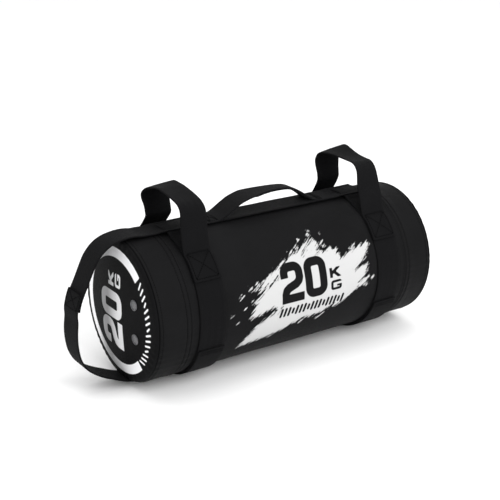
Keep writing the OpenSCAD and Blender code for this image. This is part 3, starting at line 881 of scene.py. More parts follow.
def cover_offset(x, angle, settings):
    """How far the filled cover stands out from a true cylinder, at x and an angle.

    It is the sum of: long waves, each a product of a sine along and a sine round the tube; a
    bulge between the bands, less of it along the top, and a squeeze under each band; two stitched
    grooves and the step of the lap at each ring seam; small folds that fade away from every seam
    and band; and the groove of each end seam.
    """
    waves = [(9, 2, 0.3, 1.0), (14, 3, 1.9, 0.7), (23, 1, 4.1, 0.6), (31, 4, 0.8, 0.45),
             (17, 5, 2.7, 0.45), (44, 3, 5.2, 0.3), (38, 7, 3.3, 0.3)]
    offset = sum(height * np.sin(along * x + shift) * np.sin(turns * angle + 1.7 * shift)
                 for along, turns, shift, height in waves) * settings.wave * 0.5
    between = np.cos(np.clip(x / (BAND_X - WEBBING_W / 2), -1, 1) * math.pi / 2)
    offset = offset + 0.5 * MM * between - 1.3 * MM * between * bump(angle - TOP, 0.5)
    from_band = np.abs(np.abs(x) - BAND_X)
    covered = 1 - ramp(from_band, WEBBING_W / 2 - 4 * MM, WEBBING_W / 2 + 3 * MM)
    offset = offset * (1 - 0.75 * covered) - settings.squeeze * covered
    beside = np.maximum(from_band - WEBBING_W / 2, 0)
    drag = np.sin(19 * angle + 60 * x) * np.sin(7 * angle + 1) * bump(beside, 26 * MM)
    offset = offset + 0.30 * MM * drag * (1 - covered)
    for ring in (-1, 1):
        away = ring * x - abs(RING_SEAM_X)
        for groove in RING_GROOVES:
            offset = offset - 0.75 * MM * bump(away + groove, 1.1 * MM)
        offset = offset + 0.8 * MM * (ramp(away, -12.5 * MM, -11 * MM)
                                      - ramp(away, -2 * MM, 12 * MM))
        folds = np.sin(58 * angle + 2 * np.sin(5 * angle)) * bump(away + 5.5 * MM, 13 * MM)
        offset = offset + 0.4 * settings.pucker * folds * (away < 20 * MM)
    from_seam = SEAM_X - np.abs(x)
    folds = end_folds(angle, np.sign(x))
    offset = offset + settings.pucker * folds * np.exp(-from_seam / (8 * MM))
    return offset - 2.4 * MM * bump(from_seam, 0.9 * MM) - 0.5 * MM * bump(from_seam, 4 * MM)


def shell_lines():
    """Positions along and round the tube, closer together at the seams and under the print."""
    ring, seam = abs(RING_SEAM_X), SEAM_X
    print_start, print_end = -1.12 * RADIUS, 1.24 * RADIUS
    x = graded([
        (-seam, 0.35 * MM), (-seam + 2.8 * MM, 1.6 * MM), (-ring - 2 * MM, 0.9 * MM),
        (-ring + 14 * MM, 3 * MM), (print_start, 1.35 * MM), (print_end, 3 * MM),
        (ring - 14 * MM, 0.9 * MM), (ring + 2 * MM, 1.6 * MM), (seam - 2.8 * MM, 0.35 * MM),
        (seam, 1)])
    low, high = math.radians(-38), math.radians(54)
    angle = graded([(LOWEST, 2.9 * MM / RADIUS), (low, 1.35 * MM / RADIUS),
                    (high, 2.9 * MM / RADIUS), (LOWEST_AGAIN, 1)])[:-1]
    return x, angle


def make_cover(settings, ink_settings):
    """The tube of the cover: a wall round the whole tube, closed over its two rims.

    Its outer face is the radius plus the offset, its inner face lies a cover's thickness inside
    that on fewer rows, and the two meet at the end seams.
    """
    x, angle = shell_lines()
    inner_x = x[::-12]
    rows = np.concatenate([x, inner_x])
    depth = np.concatenate([np.zeros(len(x)), np.full(len(inner_x), COVER_T)])
    grid_x, grid_a = np.meshgrid(rows, angle, indexing="ij")
    radius = RADIUS + cover_offset(grid_x, grid_a, settings) - depth[:, None]
    points = around(grid_x, grid_a, radius)
    patch = np.full(grid_x.shape, NO_PRINT)
    dark = patch.copy()
    low, high = math.radians(-40), math.radians(56)
    near = (np.abs(grid_x) < 1.3 * RADIUS) & (grid_a < high) & (grid_a > low)
    near &= depth[:, None] == 0
    patch[near], dark[near] = front_print(grid_x[near], grid_a[near])
    around_all = np.append(angle, angle[0] + TURN)
    uv = np.stack(np.broadcast_arrays(
        np.append(rows, rows[0])[:, None], around_all[None, :] * RADIUS), axis=-1)
    cover = add_grid("bag_cover", points, wrap_rows=True, wrap_cols=True, uv=uv,
                     marks={"print_patch": patch, "print_dark": dark})
    finish = cover_material("printed_cover", settings, ink_settings, with_white_patch, 0.04)
    finish_with(cover, finish, "bag", ("tube_panel", "left_collar", "right_collar"))


def end_height(away):
    """Height of a domed end over its seam, at a distance from the axis.

    The middle is part of a large sphere. The rim is a quarter round of the rim's radius, and the
    two meet where their slopes agree.
    """
    centre = DOME_H - DOME_R
    meet = DOME_R * RIM_START / math.hypot(RIM_START, centre)
    dome = centre + np.sqrt(np.maximum(DOME_R**2 - away**2, 0))
    rim = np.sqrt(np.maximum(RIM_R**2 - (away - RIM_START) ** 2, 0))
    return np.where(away < meet, dome, rim)


def make_end_cap(side, settings, ink_settings):
    """A domed end: rings of points from its middle to the seam, and back inside it.

    The height is the dome's, plus low waves over its middle and small folds at the rim that match
    the cover's. The inner face has every ninth ring of the same surface, moved in by the cover's
    thickness and drawn a little towards the axis.
    """
    sign = SIDES[side]
    angle = graded([(LOWEST, 2.1 * MM / RADIUS), (LOWEST_AGAIN, 1)])[:-1]
    turn = np.linspace(0.12, 1, 9) * math.pi / 2
    away = np.concatenate([np.arange(1.4 * MM, RIM_START, 1.25 * MM),
                           RIM_START + (RIM_R - 0.9 * MM) * np.sin(turn)])
    grid_r, grid_a = np.meshgrid(away, angle, indexing="ij")
    y, z = -grid_r * np.cos(grid_a), grid_r * np.sin(grid_a)
    height = end_height(np.minimum(grid_r * RADIUS / (RADIUS - 0.85 * MM), RADIUS))
    fade = np.exp(-(RADIUS - grid_r) / (9 * MM))
    height = height + settings.pucker * 1.1 * end_folds(grid_a, sign) * fade * (
        grid_r < RIM_START + 3 * MM)
    soft = sum(h * np.sin(k * y / RADIUS + s) * np.sin(m * z / RADIUS + 2 * s)
               for k, m, s, h in [(3, 2, 0.4, 1.0), (5, 4, 2.0, 0.6), (2, 6, 3.5, 0.5)])
    height = height + 0.35 * MM * soft * ramp(RADIUS - grid_r, 0, 20 * MM)
    outer = np.stack([sign * (SEAM_X + height), y, z], axis=-1)
    drawn_in = 0.985
    inner = outer[::-9] * np.array([1, drawn_in, drawn_in])
    inner[..., 0] -= sign * END_COVER_T
    points = np.concatenate([outer, inner])
    reading, up = (z, y) if sign < 0 else (-z, y)
    mark = end_print(reading, up)
    marks = np.concatenate([mark, np.full(inner.shape[:2], NO_PRINT)])
    uv = np.concatenate([points[..., 1:], points[:, :1, 1:]], axis=1)
    cap = add_grid(f"{side}_end_cap", points, wrap_cols=True, uv=uv,
                   marks={"print_patch": marks}, poles=("first", "last"))
    finish = kept(cover_material, "printed_end", settings, ink_settings, with_silver_marks, 0.02)
    finish_with(cap, finish, "bag", (f"{side}_end_disc",))


class BAG_OT_cover(Operator):
    """Make the printed tube of the cover"""

    bl_idname = "bag.cover"
    bl_label = "Cover"

    def execute(self, context):
        make_cover(context.scene.bag_cover, context.scene.bag_print)
        return {"FINISHED"}


class BAG_OT_end_caps(Operator):
    """Make the two domed ends with their silver marks"""

    bl_idname = "bag.end_caps"
    bl_label = "Domed Ends"

    def execute(self, context):
        for side in SIDES:
            make_end_cap(side, context.scene.bag_cover, context.scene.bag_print)
        return {"FINISHED"}


# ---------------------------------------------------------------------------------------------
# Vents


EYELET_R = 8 * MM
VENT_BORE_R = 6 * MM
# Distance of a vent from the middle of its end
VENT_AWAY = 60 * MM


def vent_frames(side):
    """Middle, outward, and two sideways directions of each vent of an end, from its eyelets."""
    sign = SIDES[side]
    low, high = span(f"{side}_vent_eyelets")
    # The two eyelets reach the box's top and bottom edges
    top = high[2] - AXIS[2] - EYELET_R
    bottom = low[2] - AXIS[2] + EYELET_R
    found = []
    for z in (top, bottom):
        y = -math.sqrt(max(VENT_AWAY**2 - z**2, 0))
        outward = unit(np.array([sign * math.sqrt(DOME_R**2 - VENT_AWAY**2), y, z]))
        middle = outward * DOME_R + np.array([sign * (SEAM_X + DOME_H - DOME_R), 0, 0])
        right = unit(np.cross(outward, [0, 0, 1.0]))
        found.append((middle, outward, right, np.cross(right, outward)))
    return found


def ring_profile(outline, centre, outward, right, up, sides=48):
    """An outline of distance from an axis and height along it, turned round that axis."""
    turn = np.arange(sides) * TURN / sides
    away, height = outline[:, 0], outline[:, 1]
    direction = (np.cos(turn)[:, None] * right + np.sin(turn)[:, None] * up)
    return (centre + direction[None] * away[:, None, None]
            + outward * height[:, None, None])


def make_eyelet(name, vent, bore):
    """A rolled eyelet: an outline turned about its vent's axis.

    Its flange is a low half-round roll outside the bore, and its barrel goes down through the
    cover.
    """
    turn = np.linspace(0, math.pi, 12)
    half = (EYELET_R - bore) / 2
    roll = np.stack([bore + half - half * np.cos(turn),
                     0.25 * MM + 0.95 * MM * np.sin(turn)], axis=1)
    barrel = np.array([[EYELET_R - 0.3 * MM, -0.2 * MM], [bore + 1.0 * MM, -0.3 * MM],
                       [bore + 1.0 * MM, -2.4 * MM], [bore, -2.4 * MM]])
    points = ring_profile(np.vstack([roll, barrel]), *vent)
    eyelet = add_grid(name, points, wrap_rows=True, wrap_cols=True)
    finish = kept(plain_material, "eyelet_metal", (0.10, 0.10, 0.105), (0.20, 0.20, 0.21), 260,
                  0.42, 0.00006, 0.85)
    return finish_with(eyelet, finish, "bag")


def make_screen(name, vent, bore):
    """A vent's wire screen: a slightly crowned disc, with its wires as two crossed sines."""
    middle, outward, right, up = vent
    away, sides, wave = np.linspace(0.3 * MM, bore - 0.05 * MM, 26), 72, 1.8 * MM
    angles = np.arange(sides) * TURN / sides
    across, high = away[:, None] * np.cos(angles), away[:, None] * np.sin(angles)
    wires = 0.12 * MM * (np.sin(across * TURN / wave) * np.sin(high * TURN / wave))
    crown = 0.5 * MM * (1 - (away / bore) ** 2)[:, None] + wires
    face = middle + right * across[..., None] + up * high[..., None] + outward * crown[..., None]
    points = np.concatenate([face, face[::-5] - outward * 0.4 * MM])
    flat = np.stack([across, high], axis=-1)
    uv = np.concatenate([flat, flat[::-5]])
    uv = np.concatenate([uv, uv[:, :1]], axis=1)
    screen = add_grid(name, points, wrap_cols=True, uv=uv, poles=("first", "last"))
    return finish_with(screen, kept(screen_material, "vent_mesh"), "bag")


def make_vents(side, bore):
    """The two vents of an end: an eyelet with its wire screen at each."""
    made = [(make_eyelet(f"{side}_eyelet_{index + 1}", vent, bore),
             make_screen(f"{side}_screen_{index + 1}", vent, bore))
            for index, vent in enumerate(vent_frames(side))]
    eyelet, screen = made[0]
    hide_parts(f"{side}_vent_eyelets")
    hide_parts(f"{side}_vent_screens")


class BAG_OT_vents(Operator):
    """Make the eyelets and mesh screens of the vents"""

    bl_idname = "bag.vents"
    bl_label = "Vents"

    def execute(self, context):
        for side in SIDES:
            make_vents(side, VENT_BORE_R)
        return {"FINISHED"}


# ---------------------------------------------------------------------------------------------
# Webbing round the tube


def strap_half_angle():
    """Half of the angle that a lengthways strap covers, seen along the tube."""
    return math.asin(WEBBING_W / 2 / RADIUS)


def lifted(angle):
    """1 where a band crosses the top or the bottom strap, and 0 elsewhere."""
    half = strap_half_angle()
    away = np.min([np.abs(angle - place) for place in (TOP, LOWEST, LOWEST_AGAIN)], axis=0)
    return 1 - ramp(away, half, half + math.radians(4.5))


def make_band(side):
    """A band round the tube: webbing on a circle that rises where it crosses each long strap."""
    sign = SIDES[side]
    angle = np.linspace(LOWEST, LOWEST_AGAIN, 340, endpoint=False)
    radius = RADIUS + WEBBING_T * (0.5 + lifted(angle)) - 0.15 * MM
    x = sign * BAND_X + 0.5 * MM * np.sin(3 * angle + sign)
    path = around(x, angle, radius)
    band = ribbon(f"{side}_band_webbing", path, (1, 0, 0), WEBBING_W - 0.8 * MM,
                  WEBBING_T - 0.3 * MM, closed=True, edge_wave=0)
    finish_with(band, webbing_finish(), "bag", (f"{side}_band",))


def doubling_reach(side):
    """The angles between which a band is doubled, under the bag."""
    return math.radians(-23 if side == "right" else -24), math.radians(-157)


def doubled_faces(angle):
    """Inner and outer radius of a doubled stretch, which the floor flattens at its lowest part."""
    inner = RADIUS + WEBBING_T * (1 + lifted(angle))
    outer = np.maximum(inner + 0.8 * MM, RADIUS + 2 * WEBBING_T)
    floor = np.abs(FLOOR_Z) / np.maximum(np.abs(np.sin(angle)), 0.2)
    return inner, np.minimum(outer, floor - 0.05 * MM)


def make_doubling(side):
    """The doubled stretch of a band: webbing between the band's face and the floor."""
    sign = SIDES[side]
    start, end = doubling_reach(side)
    angle = np.linspace(start, end, 150)
    inner, outer = doubled_faces(angle)
    path = around(np.full(len(angle), sign * BAND_X), angle, (inner + outer) / 2)
    piece = ribbon(f"{side}_doubled_webbing", path, (-1, 0, 0), WEBBING_W - 0.6 * MM,
                   outer - inner, edge_wave=0)
    finish_with(piece, webbing_finish(), "bag", (f"{side}_band_doubling",))


class BAG_OT_bands(Operator):
    """Make the two bands and the doubled stretch of each"""

    bl_idname = "bag.bands"
    bl_label = "Bands"

    def execute(self, context):
        for side in SIDES:
            make_band(side)
            make_doubling(side)
        return {"FINISHED"}


# ---------------------------------------------------------------------------------------------
# Cross loops, centre handle and the straps along the bag

# Tops of the cross loops: distance from the middle and height, as shares of the tube's radius
LOOP_TOPS = {
    "left": [(-0.56, 1.10), (-0.545, 1.22), (-0.505, 1.36), (-0.41, 1.435), (-0.25, 1.48),
             (-0.09, 1.515), (0.07, 1.54), (0.27, 1.53), (0.385, 1.48), (0.455, 1.405),
             (0.46, 1.33), (0.425, 1.245), (0.395, 1.15), (0.40, 1.06)],
    "right": [(-0.54, 1.08), (-0.485, 1.21), (-0.45, 1.31), (-0.41, 1.41), (-0.355, 1.475),
              (-0.285, 1.51), (-0.17, 1.52), (-0.03, 1.535), (0.15, 1.57), (0.28, 1.585),
              (0.39, 1.565), (0.46, 1.49), (0.485, 1.40), (0.475, 1.28), (0.455, 1.18),
              (0.46, 1.07)],
}
TAB_END = math.radians(30.5)
TAB_TOP = math.radians(54)


def loop_path(side):
    """A cross loop's middle line: up the front tab, over the loop and down the back tab."""
    on_band = RADIUS + 1.5 * WEBBING_T
    tab = np.linspace(TAB_END, TAB_TOP, 5)
    front = [(-on_band * math.cos(t), on_band * math.sin(t)) for t in tab]
    back = [(on_band * math.cos(t), on_band * math.sin(t)) for t in tab[::-1]]
    top = [(y * RADIUS, z * RADIUS) for y, z in LOOP_TOPS[side]]
    return smooth_path(front + top + back, 2 * MM)


def make_cross_loop(side):
    """A standing cross loop with its two tabs: webbing along its path, leaning a little."""
    y, z = loop_path(side).T
    rise = np.maximum(z - RADIUS, 0) / (0.55 * RADIUS)
    back = ramp(y, -0.2 * RADIUS, 0.5 * RADIUS)
    x = SIDES[side] * BAND_X + rise**1.5 * (2.0 * MM - 3 * MM * back)
    path = np.stack([x, y, z], axis=1)
    tilt = 0.10 * rise * (1 if side == "right" else 0.5)
    side_way = np.stack([np.cos(tilt), np.zeros(len(x)), np.sin(tilt) * (2 * back - 1)], axis=1)
    # The right edge turns down sooner than the left at the back, and later at the front
    high = ramp(z, 1.2 * RADIUS, 1.45 * RADIUS)
    at_back = bump(y - 0.36 * RADIUS, 0.2 * RADIUS) * high
    at_front = bump(y + 0.36 * RADIUS, 0.2 * RADIUS) * high
    lean = np.stack([np.zeros(len(x)), 0.15 * at_front - 0.24 * at_back, 0.16 * at_back], axis=1)
    standing = ramp(rise, 0.05, 0.4)
    narrow = 1 - 0.05 * standing * bump(y, 0.35 * RADIUS)
    cup = 0.5 * standing * np.sin(lengths_along(path) / 0.03)
    loop = ribbon(f"{side}_cross_loop", path, side_way, (WEBBING_W - 0.6 * MM) * narrow,
                  WEBBING_T - 0.1 * MM, cup=cup, lean=lean)
    finish_with(loop, webbing_finish(), None,
                (f"{side}_loop_webbing", f"{side}_loop_front_foot", f"{side}_loop_back_foot"))
    hinge = joint_place(f"{side}_loop_fold")
    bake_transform(loop)


class BAG_OT_cross_loops(Operator):
    """Make the two standing cross loops"""

    bl_idname = "bag.cross_loops"
    bl_label = "Cross Loops"

    def execute(self, context):
        for side in SIDES:
            make_cross_loop(side)
        return {"FINISHED"}


# Middle line of the centre handle: x and height as shares of the tube's radius
HANDLE_LINE = [(-1.0, 1.033), (-0.93, 1.033), (-0.86, 1.04), (-0.77, 1.07), (-0.67, 1.125),
               (-0.58, 1.175), (-0.50, 1.215), (-0.34, 1.26), (-0.17, 1.28), (0.0, 1.286),
               (0.17, 1.283), (0.33, 1.27), (0.43, 1.245), (0.52, 1.20), (0.61, 1.145),
               (0.69, 1.085), (0.765, 1.045), (0.83, 1.034), (0.91, 1.033)]
# Width that shows between the handle's folded edges, as a share of the webbing's width, along it
HANDLE_SHARES = [(-0.44, 1.12), (-0.3, 1.0), (-0.21, 0.88), (-0.12, 0.78), (0.02, 0.66),
                 (0.17, 0.6), (0.31, 0.56), (0.66, 0.56), (0.74, 0.75), (0.84, 1.12)]


def folded_section(width, thickness, flat_half, bend=1.9 * MM):
    """Sections of a strip whose two edges fold under, one for each place of the folds.

    The strip's direction is level over its middle, and turns over by nearly half a turn at
    flat_half to each side, along a short bend. Adding up its steps from the middle outwards gives
    the middle line, and half the thickness to each side gives the two faces.
    """
    steps = np.linspace(0, width / 2, 30)
    flat_half = flat_half[:, None]
    turn = 0.985 * math.pi * ramp(steps[None, :], flat_half - bend, flat_half + bend)
    step = steps[1] - steps[0]
    middle = (turn[:, 1:] + turn[:, :-1]) / 2
    start = np.zeros((len(flat_half), 1))
    y = np.concatenate([start, np.cumsum(np.cos(middle) * step, axis=1)], axis=1)
    z = np.concatenate([start, np.cumsum(-np.sin(middle) * step, axis=1)], axis=1)
    # The two faces come together in a round edge at the strip's rim
    near_edge = np.clip((steps - width / 2 + thickness / 2) / (thickness / 2), 0, 0.998)
    half = np.sqrt(1 - near_edge**2) * thickness / 2
    off_y, off_z = np.sin(turn) * half, np.cos(turn) * half
    upper = np.stack([y + off_y, z + off_z], axis=-1)
    lower = np.stack([y - off_y, z - off_z], axis=-1)
    flip = np.array([-1, 1])
    section = np.concatenate([upper[:, :0:-1] * flip, upper, lower[:, ::-1],
                              lower[:, 1:] * flip], axis=1)
    across = np.concatenate([-steps[:0:-1], steps, steps[::-1], -steps[1:]])
    return section, across


def make_centre_handle():
    """The centre handle: one webbing strip, flat at both ends and folded under for the grip.

    Its section at each point of the middle line is a folded section. The folds start at the
    strip's edges and come closer together along the left slope, and part again at the right end.
    """
    line = smooth_path([(x * RADIUS, z * RADIUS) for x, z in HANDLE_LINE], 2 * MM)
    x, z = line[:, 0], line[:, 1]
    lift = ramp(x, -0.9 * RADIUS, -0.6 * RADIUS) * (1 - ramp(x, 0.68 * RADIUS, 0.86 * RADIUS))
    at, share = np.array(HANDLE_SHARES).T
    section, across = folded_section(WEBBING_W - 1 * MM, 2.0 * MM,
                                     np.interp(x / RADIUS, at, share) * WEBBING_W / 2)
    forward = unit(np.gradient(line, axis=0))
    up = np.stack([-forward[:, 1], np.zeros(len(x)), forward[:, 0]], axis=1)
    # Flat ends curve with the strap below them
    sag = (1 - lift)[:, None] * section[..., 0] ** 2 / (2 * RADIUS) * 0.8
    path = np.stack([x, 1.2 * MM * lift * np.sin(x / 0.04), z], axis=1)
    points = (path[:, None, :] + np.array([0, 1.0, 0]) * section[..., :1]
              + up[:, None, :] * (section[..., 1:] - sag[..., None]))
    along = lengths_along(path)
    uv = np.stack(np.broadcast_arrays(along[:, None], np.append(across, across[0])[None, :]),
                  axis=-1)
    handle = add_grid("centre_handle_webbing", points, wrap_cols=True, uv=uv,
                      poles=("first", "last"))
    finish_with(handle, webbing_finish(), None,
                ("handle_grip", "handle_left_foot", "handle_right_foot"))
    hinge = joint_place("centre_handle_flop")
    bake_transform(handle)


class BAG_OT_centre_handle(Operator):
    """Make the folded centre handle"""

    bl_idname = "bag.centre_handle"
    bl_label = "Centre Handle"

    def execute(self, context):
        make_centre_handle()
        return {"FINISHED"}


# End loop beyond the tube: x and height as shares of the tube's radius, from the top round to
# the bottom
END_LOOP_LINE = [
    (-2.12, 1.03), (-2.28, 1.035), (-2.40, 1.02), (-2.50, 0.985), (-2.60, 0.92), (-2.70, 0.81),
    (-2.78, 0.665), (-2.855, 0.51), (-2.925, 0.37), (-2.965, 0.27), (-3.0, 0.13), (-3.02, 0.0),
    (-3.035, -0.18), (-3.025, -0.35), (-2.99, -0.5), (-2.91, -0.645), (-2.80, -0.74),
    (-2.68, -0.815), (-2.54, -0.88), (-2.38, -0.95), (-2.22, -1.0)]
# Heights between which the two straps are sewn together, as shares of the tube's radius
LAP = (0.42, 0.16)


def end_loop_curve():
    """The end loop's middle line from the top of the bag to the bottom, at an even step."""
    level = 1 + WEBBING_T / 2 / RADIUS + 0.004
    ends = [(x, level) for x in (-1.95, -2.05)], [(x, -level) for x in (-2.1, -1.98, -1.9)]
    return smooth_path(np.array(ends[0] + END_LOOP_LINE + ends[1]) * RADIUS, 2.2 * MM)


def long_strap(name, line, conform, replaced):
    """A strap along the bag and on round its end: webbing along a line seen from the front.

    Its section bends to the tube's arc where conform is 1 and lies flatter where it is less.
    """
    path = np.stack([line[:, 0], np.zeros(len(line)), line[:, 1]], axis=1)
    strap = ribbon(name, path, (0, -1, 0), WEBBING_W - 0.8 * MM, WEBBING_T - 0.3 * MM,
                   cup=conform)
    finish_with(strap, webbing_finish(), None, replaced)
    hinge = joint_place("end_loop_swing")
    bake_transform(strap)


def make_long_straps():
    """The strap along the top and the one along the bottom, joined round the left end.

    Each lies on the tube, bends fully to it under the bands and stands a little free between
    them, and goes on past the left end seam. The lower one ends outside the upper one, which
    it steps over along the sewn lap.
    """
    curve = end_loop_curve()
    forward = unit(np.gradient(curve, axis=0))
    outward = np.stack([forward[:, 1], -forward[:, 0]], axis=1)
    right_end = BAND_X + WEBBING_W / 2 - 2 * MM
    run = np.arange(right_end, -1.9 * RADIUS, -3 * MM)
    for name, sign in (("top", 1), ("bottom", -1)):
        level = sign * (RADIUS + WEBBING_T / 2)
        on_bag = np.stack([run, np.full(len(run), level)], axis=1)
        if sign > 0:
            stop = np.argmax(curve[:, 1] < LAP[1] * RADIUS)
            line = np.vstack([on_bag, curve[:stop]])
        else:
            below = np.argmax(curve[:, 1] < LAP[0] * RADIUS)
            step = ramp(-curve[below:, 1], -LAP[1] * RADIUS, -(LAP[1] - 0.14) * RADIUS)
            moved = curve[below:] + outward[below:] * (WEBBING_T * (1 - step))[:, None]
            line = np.vstack([on_bag, moved[::-1]])
        line = smooth_path(line[::3], 2.4 * MM)
        from_band = np.abs(np.abs(line[:, 0]) - BAND_X)
        held = 1 - ramp(from_band, WEBBING_W / 2 + 2 * MM, WEBBING_W / 2 + 26 * MM)
        inside = ramp(line[:, 0], -SEAM_X - 12 * MM, -SEAM_X + 10 * MM)
        held = np.maximum(held, 0.45) * inside
        replaced = (("top_strap", "end_loop_upper_strap") if sign > 0
                    else ("bottom_strap", "end_loop_lower_strap"))
        long_strap(f"{name}_strap_webbing", line, held, replaced)


class BAG_OT_long_straps(Operator):
    """Make the straps along the bag and round its left end"""

    bl_idname = "bag.long_straps"
    bl_label = "Long Straps and End Loop"

    def execute(self, context):
        make_long_straps()
        return {"FINISHED"}


# ---------------------------------------------------------------------------------------------
# Sewing

# How far thread lies over or into what it is sewn on, and how far it stays from webbing's edges
THREAD_SINK = 0.05 * MM
STITCH_MARGIN, HANDLE_STITCH_MARGIN = 4 * MM, 5 * MM
# Angle from a doubled stretch's end to each of the two rows that hold it
DOUBLING_ROWS = (0.035, 0.075)


def on_cover(x, angle, settings):
    """Points just under the cover's face, and its outward normals."""
    x, angle = np.broadcast_arrays(x, angle)
    points = around(x, angle, RADIUS + cover_offset(x, angle, settings) - THREAD_SINK)
    return points, around(np.zeros_like(x), angle, 1.0)


def on_doubled(x, angle):
    """Points just over two thicknesses of webbing on the tube, and outward normals."""
    return (around(x, angle, RADIUS + 2 * WEBBING_T + THREAD_SINK),
            around(np.zeros(len(x)), angle, 1.0))


def box_and_cross(half, low, high, place):
    """A box of stitches with its two diagonals, from half the width and two limits lengthways.

    place turns widths and lengths into points and outward normals.
    """
    corners = [(-half, low), (half, low), (half, high), (-half, high)]
    for first, last in [(0, 1), (1, 2), (2, 3), (3, 0), (0, 2), (1, 3)]:
        share = np.linspace(0, 1, 16)
        (xa, ta), (xb, tb) = corners[first], corners[last]
        yield place(xa + (xb - xa) * share, ta + (tb - ta) * share)


def tab_seams(side, back):
    """The box and cross of stitches on a loop's tab."""
    def place(x, angle):
        return on_doubled(SIDES[side] * BAND_X + x, math.pi - angle if back else angle)
    return box_and_cross(WEBBING_W / 2 - STITCH_MARGIN, TAB_END + 0.035, TAB_TOP - 0.02, place)


def lap_seams():
    """The box and cross of stitches on the outside of the end loop's lap."""
    curve = end_loop_curve()
    along = lengths_along(curve)
    forward = unit(np.gradient(curve, axis=0))
    start = along[np.argmax(curve[:, 1] < (LAP[0] - 0.03) * RADIUS)]
    end = along[np.argmax(curve[:, 1] < (LAP[1] + 0.03) * RADIUS)]

    def place(y, length):
        x, z, ahead_x, ahead_z = (np.interp(length, along, values) for values in
                                  (curve[:, 0], curve[:, 1], forward[:, 0], forward[:, 1]))
        outward = np.stack([ahead_z, np.zeros(len(y)), -ahead_x], axis=1)
        return np.stack([x, y, z], axis=1) + outward * (1.5 * WEBBING_T - 0.1 * MM), outward
    return box_and_cross(WEBBING_W / 2 - STITCH_MARGIN, start, end, place)


def handle_seams(low, high):
    """The box and cross of stitches on a sewn end of the centre handle."""
    line = np.array(HANDLE_LINE) * RADIUS

    def place(y, x):
        height = np.interp(x, line[:, 0], line[:, 1]) + 1.0 * MM - 0.4 * y**2 / RADIUS
        return (np.stack([x, y, height], axis=1),
                np.broadcast_to(np.array([0, 0, 1.0]), (len(x), 3)))
    return box_and_cross(WEBBING_W / 2 - HANDLE_STITCH_MARGIN, low * RADIUS, high * RADIUS, place)


def make_stitching(settings, webbing):
    """All the visible sewing, as rows of short stitches on the cover and the webbing."""
    def sew(name, seams, body="bag", size=1.0):
        rows = stitches(name, seams, webbing.stitch_pitch, webbing.thread_r * size)
        finish_with(rows, thread_finish(), body)

    circle = np.linspace(LOWEST, LOWEST_AGAIN, 360)
    sew("ring_seam_stitches", [on_cover(sign * (abs(RING_SEAM_X) - groove), circle, settings)
                               for sign in (-1, 1) for groove in RING_GROOVES])
    sew("end_seam_stitches", [on_cover(sign * (SEAM_X - 5.5 * MM), circle, settings)
                              for sign in (-1, 1)], size=0.9)
    sew("tab_stitches", [seam for side in SIDES for back in (False, True)
                         for seam in tab_seams(side, back)])
    sew("lap_stitches", lap_seams(), body="end_loop")
    sew("handle_stitches", [*handle_seams(-0.985, -0.875), *handle_seams(0.84, 0.9)])
    doubled = []
    for side, sign in SIDES.items():
        start, end = doubling_reach(side)
        x = sign * BAND_X + np.linspace(-0.42, 0.42, 14) * WEBBING_W
        for turn in (*(start - row for row in DOUBLING_ROWS), *(end + row for row in DOUBLING_ROWS)):
            doubled.append(on_doubled(x, np.full(len(x), turn)))
    sew("doubling_stitches", doubled)


class BAG_OT_stitching(Operator):
    """Make the visible sewing"""

    bl_idname = "bag.stitching"
    bl_label = "Stitching"

    def execute(self, context):
        make_stitching(context.scene.bag_cover, context.scene.bag_webbing)
        return {"FINISHED"}


# ---------------------------------------------------------------------------------------------
# Inner pieces, which keep their shapes from the frame


def inner_finishes():
    """The finish of each inner node."""
    tape = kept(woven_material, "seam_tape_weave", (0.02, 0.02, 0.022), (0.07, 0.07, 0.075),
                0.0012, 0.8)
    binding = kept(woven_material, "binding_weave", (0.002, 0.002, 0.0022),
                   (0.004, 0.004, 0.0043), 0.0012, 0.9, 0.02)
    foam = kept(plain_material, "foam_cells", (0.52, 0.51, 0.47), (0.68, 0.67, 0.62), 600, 0.9,
                0.0006)
    sack = kept(woven_material, "sack_weave", (0.50, 0.50, 0.46), (0.80, 0.80, 0.74), 0.0025, 0.6)
    filling = kept(plain_material, "sealed_filling", (0.20, 0.15, 0.09), (0.42, 0.34, 0.22), 320,
                   0.45, 0.0008)
    washer = kept(plain_material, "washer_metal", (0.40, 0.40, 0.41), (0.62, 0.62, 0.63), 300,
                  0.35, 0.00005, 0.9)
    finishes = {"tube_seam_tape": tape, "foam_wrap": foam, "liner_sack": sack}
    for side in SIDES:
        finishes[f"{side}_seam_binding"] = binding
        finishes[f"{side}_foam_pad"] = foam
        finishes[f"{side}_vent_washers"] = washer
    for name in frame["nodes"]:
        if name.startswith("pod_"):
            finishes[name] = filling
    return finishes


class BAG_OT_inner_pieces(Operator):
    """Give the foam, sack, pods, tape and washers their finishes"""

    bl_idname = "bag.inner_pieces"
    bl_label = "Inner Pieces"

    def execute(self, context):
        for name, finish in inner_finishes().items():
            piece = frame["nodes"][name]
            for place in piece.material_slots:
                place.link = "DATA"
            piece.data.materials.clear()
            piece.data.materials.append(finish)
        return {"FINISHED"}


# ---------------------------------------------------------------------------------------------
# Stage

# The camera's direction, its lens and sensor in millimetres, and, as shares of the tube's radius,
# its distance and how far its aim lies to the right of and above the bag's middle
CAMERA_AZIMUTH, CAMERA_ELEVATION = math.radians(-34.04), math.radians(19.64)
CAMERA_LENS, CAMERA_SENSOR = 78.7, 36
CAMERA_AWAY = 15.70
AIM_RIGHT, AIM_UP = -0.196, 0.355
# Soft lights: name, place, side of the square, power in watts
LIGHTS = (("overhead", (-0.2, 0.4, 2.4), 2.4, 14), ("front", (0.4, -2.1, 1.7), 1.8, 44))
LIGHT_AIM = (0, 0, 0.1)
FLOOR_REACH = 6.0
SKY_STRENGTH = 1.05


